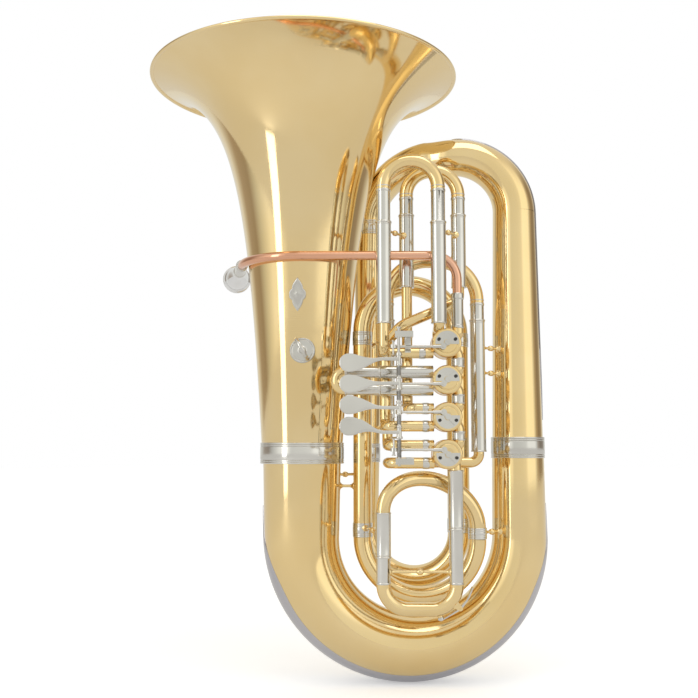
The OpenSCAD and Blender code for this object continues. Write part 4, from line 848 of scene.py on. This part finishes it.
piece(
    "fourth_loop",
    [(loop([(27, LINE_Y, zu), (L4, LINE_Y, zu), (L4, Y4, zu), (L4, Y4, LOW4)], 12.5), "brass"),
     (loop([(27, LINE_Y, zl), (L4, LINE_Y, zl), (L4, Y4, zl), (R4, Y4, zl), (R4, Y4, LOW4R)], 12.5),
         "brass"),
     (bead_ring((16, LINE_Y, zl), (1, 0, 0), LOOP_R, 9), "nickel"),
     (bead_ring((16, LINE_Y, zu), (1, 0, 0), LOOP_R, 9), "nickel"),
     (socket(L4, Y4, LOW4, TOP4), "nickel"), (socket(R4, Y4, LOW4R, TOP4), "nickel")],
    "root", ["loop_4"],
)


def upright_slide(name, left, right, y, sleeve_top, leg, crook_low, bend):
    """Two nickel legs and a brass crook that turns over at the top."""
    top = crook_low + bend + 6
    bend_path = route([(left, y, crook_low), (left, y, top), (right, y, top), (right, y, crook_low)],
        bend, 3)
    parts = [(swept(bend_path, SLIDE_R, 0.8, 52), "brass")]
    for x in (left, right):
        parts.append((upright(x, y, leg, crook_low, SLIDE_R, 0.8, 52), "nickel"))
        parts.append((bead_ring((x, y, crook_low + 1), (0, 0, 1), SLIDE_R, 4), "nickel"))
        parts.append((bead_ring((x, y, crook_low + 7), (0, 0, 1), SLIDE_R, 1.6, 0.4), "nickel"))
    piece(name, parts, name, [name])


upright_slide("slide_1", L1, R1, Y1, TOP1, TOP1 - 130, TOP1 + 42, 36.5)
upright_slide("slide_3", L3, R3, Y3, TOP3, TOP3 - 92, TOP3 + 22, 35.5)
upright_slide("slide_4", L4, R4, Y4, TOP4, TOP4 - 140, TOP4 + 21, 58)
a = np.linspace(0, math.pi, 40)
crook = np.stack([-94 - 12 * np.sin(a), LINE_Y + 0 * a, VALVE_Z[1] + 12 * np.cos(a)], 1)
legs = []
for s in (-1, 1):
    zz = VALVE_Z[1] + 12 * s
    legs.append((swept([(-94, LINE_Y, zz), (6, LINE_Y, zz)], 8.0, 0.8, 48), "nickel"))
    legs.append((bead_ring((-93, LINE_Y, zz), (1, 0, 0), 8.0), "nickel"))
piece("slide_2", [(swept(crook, 8.0, 0.8, 48), "brass")] + legs, "slide_2",
    ["slide_2"])

# ---- Stays and fittings ----

stays = [
    ((L1, Y1, 627), (L3, Y3, 627), SLEEVE_R, SLEEVE_R, 2.0),
    ((R1, Y1, 628), (R3, Y3, 628), SLEEVE_R, SLEEVE_R, 2.0),
    ((R4, Y4, 436), (HALF, 0, 436), SLEEVE_R, 34.9, 2.0),
    ((R4, Y4, 472), (HALF, 0, 472), SLEEVE_R, 34.3, 2.0),
    ((BELL_X, 0, 275), (FRONT_X, FRONT_Y, 275), 55.6, FRONT_R, 2.4),
    ((TUNING_X, TUNING_Y, 212), (HALF, 0, 212), 13.2, 38.4, 2.4),
    ((BELL_X, 0, 430), (FRONT_X, FRONT_Y, 430), 65.5, FRONT_R, 2.4),
    ((FRONT_X, FRONT_Y, 216), (T_LEFT, LINE_Y, 216), FRONT_R, SLEEVE_R, 2.2),
    ((INNER_X, INNER_Y, 290), (BELL_X, 0, 290), 18.5, 55.9, 2.4),
    ((INNER_X, INNER_Y, 360), (BACK_X, BACK_Y, 360), 19.2, BACK_R, 2.4),
    ((L4, Y4, 484), (INNER_X + 3, INNER_Y, 484), SLEEVE_R, 20.5, 2.2),
]
piece("tube_stays", [(stay(*s), "brass") for s in stays], "root", ["braces"])

a = np.linspace(0, TAU, 120, endpoint=False)
diamond = 1 / (np.abs(np.cos(a)) / 12.5 + np.abs(np.sin(a)) / 25.0)
scallop = diamond * (1 + 0.13 * np.abs(np.sin(4 * a)) - 0.05)
layers = [(0, 1.7), (0.1, 1.9), (0.2, 1.75), (0.3, 1.35), (0.7, 1.25), (0.78, 1.3), (0.84, 1.65),
    (0.9, 1.65), (0.96, 1.3),
          (1, 0.8), (1, -0.2), (0, -0.2)]
share = np.array([k for k, _ in layers])[:, None]
lift = np.array([h for _, h in layers])[:, None]
dx = share * scallop * np.cos(a)
dz = share * scallop * np.sin(a)
bz = 543.0
br = bell_radius(BELL_TOP - bz - dz) + lift
ba = np.arcsin(-4.0 / 75.0) + dx / 75.0
badge = np.stack([BELL_X + br * np.sin(ba), -br * np.cos(ba), bz + dz], -1)
piece("bell_badge", [(badge, "nickel")], "root", ["badge"])
STRAP_Z = 465.0
STRAP_R = float(bell_radius(BELL_TOP - STRAP_Z))
face = -STRAP_R - 2.5
rows = [(0, 8), (17.2, 8), (18, 7.2), (18, 1), (17.2, 0), (15.4, 0), (15, 0.45), (14.4, 0.45), (14, 0),
    (6.4, 0),
        (4.6, -1), (4.2, -2.6), (0, -2.6)]
plate = turned(softened(rows, 0.4, closed=False), (BELL_X + 3, face, STRAP_Z), (0, 1, 0), 80, False)
piece("strap_disc", [(plate, "nickel")], "root", ["strap_plate"])
lean = math.radians(30)
b = np.linspace(0, TAU, 24, endpoint=False)
wire = np.stack([17.1 + 1.05 * np.cos(b), 2.4 * np.sin(b)], 1)
ring = turned(wire, (BELL_X + 3, face - 18.6, STRAP_Z), (math.cos(lean), 0, math.sin(lean)), 96)
piece("strap_hoop", [(ring, "nickel")], "root", ["strap_ring"])

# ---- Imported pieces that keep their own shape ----

KEPT = {"cork_plates": "nickel", "cork_bumpers": "rubber", "hinge_brackets": "nickel",
    "water_key": "nickel",
        "water_key_saddle": "brass"}
for i in range(1, 5):
    KEPT[f"rotor_{i}"] = "turned"
    KEPT[f"stop_arm_{i}"] = "nickel"
    KEPT[f"link_{i}"] = "nickel"
for node, finish in KEPT.items():
    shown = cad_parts[node]
    for place in shown.material_slots:
        place.material = FINISH[finish]

# ---- Floor, light and camera ----

low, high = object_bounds()
bpy.ops.mesh.primitive_circle_add(vertices=128, radius=14, fill_type="NGON",
    location=(0, 0, low[2] - 0.0005))
floor = bpy.context.object
floor.name = "floor"
pale = bpy.data.materials.new("pale_floor")
pale.use_nodes = True
pale_shader = pale.node_tree.nodes["Principled BSDF"]
pale_shader.inputs["Base Color"].default_value = (0.93, 0.93, 0.93, 1)
pale_shader.inputs["Roughness"].default_value = 0.9
pale_shader.inputs["Emission Color"].default_value = (1, 1, 1, 1)
pale_shader.inputs["Emission Strength"].default_value = 0.3
pale_tree = pale.node_tree
direct = pale_tree.nodes.new("ShaderNodeLightPath").outputs["Is Camera Ray"]
pale_tree.links.new(ramp(pale_tree, direct, 0, 1, 0.6, 0.93), pale_shader.inputs["Base Color"])
pale_tree.links.new(ramp(pale_tree, direct, 0, 1, 0.22, 0.34), pale_shader.inputs["Emission Strength"])
floor.data.materials.append(pale)

world = bpy.data.worlds.new("studio")
bpy.context.scene.world = world
world.use_nodes = True
sky = world.node_tree
where = sky.nodes.new("ShaderNodeTexCoord").outputs["Generated"]
axes = sky.nodes.new("ShaderNodeSeparateXYZ")
sky.links.new(where, axes.inputs[0])
bearing = maths(sky, "ARCTAN2", axes.outputs["X"], maths(sky, "MULTIPLY", axes.outputs["Y"], -1.0))
bands = sky.nodes.new("ShaderNodeValToRGB")
sky.links.new(ramp(sky, bearing, -math.pi, math.pi, 0, 1), bands.inputs["Fac"])
sky.nodes[-1].interpolation_type = "LINEAR"
STOPS = [(-180, 0.8), (-142, 0.75), (-122, 0.42), (-102, 0.36), (-88, 0.6), (-74, 0.84), (-63, 1.06),
    (-36, 1.08),
         (-27, 0.78), (8, 0.82), (26, 0.9), (37, 1.2), (70, 1.16), (80, 0.72), (86, 0.5), (102, 0.28),
             (122, 0.34),
         (140, 0.75), (180, 0.8)]
points = bands.color_ramp.elements
while len(points) < len(STOPS):
    points.new(0.5)
for point, (angle, value) in zip(points, STOPS):
    point.position = (angle + 180) / 360
    warm = 0.72 if value < 0.6 else 0.95
    point.color = (value, value * (0.86 + 0.14 * (warm > 0.9)), value * warm, 1)
upper = ramp(sky, axes.outputs["Z"], 0.45, 0.85, 0, 1)
blend = sky.nodes.new("ShaderNodeMix")
blend.data_type = "RGBA"
blend.inputs[7].default_value = (0.8, 0.78, 0.74, 1)
sky.links.new(upper, blend.inputs[0])
sky.links.new(bands.outputs["Color"], blend.inputs[6])
seen = sky.nodes.new("ShaderNodeMix")
seen.data_type = "RGBA"
seen.inputs[7].default_value = (1, 1, 1, 1)
sky.links.new(sky.nodes.new("ShaderNodeLightPath").outputs["Is Camera Ray"], seen.inputs[0])
sky.links.new(blend.outputs[2], seen.inputs[6])
sky.links.new(seen.outputs[2], sky.nodes["Background"].inputs["Color"])


def softbox(name, place, target, wide, tall, power):
    """A rectangular area light that looks at a point."""
    data = bpy.data.lights.new(name, "AREA")
    data.shape = "RECTANGLE"
    data.size = wide
    data.size_y = tall
    data.energy = power
    lamp = bpy.data.objects.new(name, data)
    bpy.context.scene.collection.objects.link(lamp)
    lamp.location = place
    aim = np.array(target) - np.array(place)
    lamp.rotation_euler = Vector(aim).to_track_quat("-Z", "Y").to_euler()


softbox("left_softbox", (-1.7, -1.5, 0.9), (0, 0, 0.45), 0.5, 1.7, 5)
softbox("top_softbox", (0.2, -0.6, 2.4), (0, 0, 0.4), 1.4, 1.2, 7)

camera_data = bpy.data.cameras.new("camera")
camera_data.lens = 50
camera_data.sensor_width = 36
camera = bpy.data.objects.new("camera", camera_data)
bpy.context.scene.collection.objects.link(camera)
camera.location = (-0.0885, -1.415, 0.332)
camera.rotation_euler = (math.radians(95.72), 0, 0)
bpy.context.scene.camera = camera
bpy.context.scene.view_settings.view_transform = "Standard"
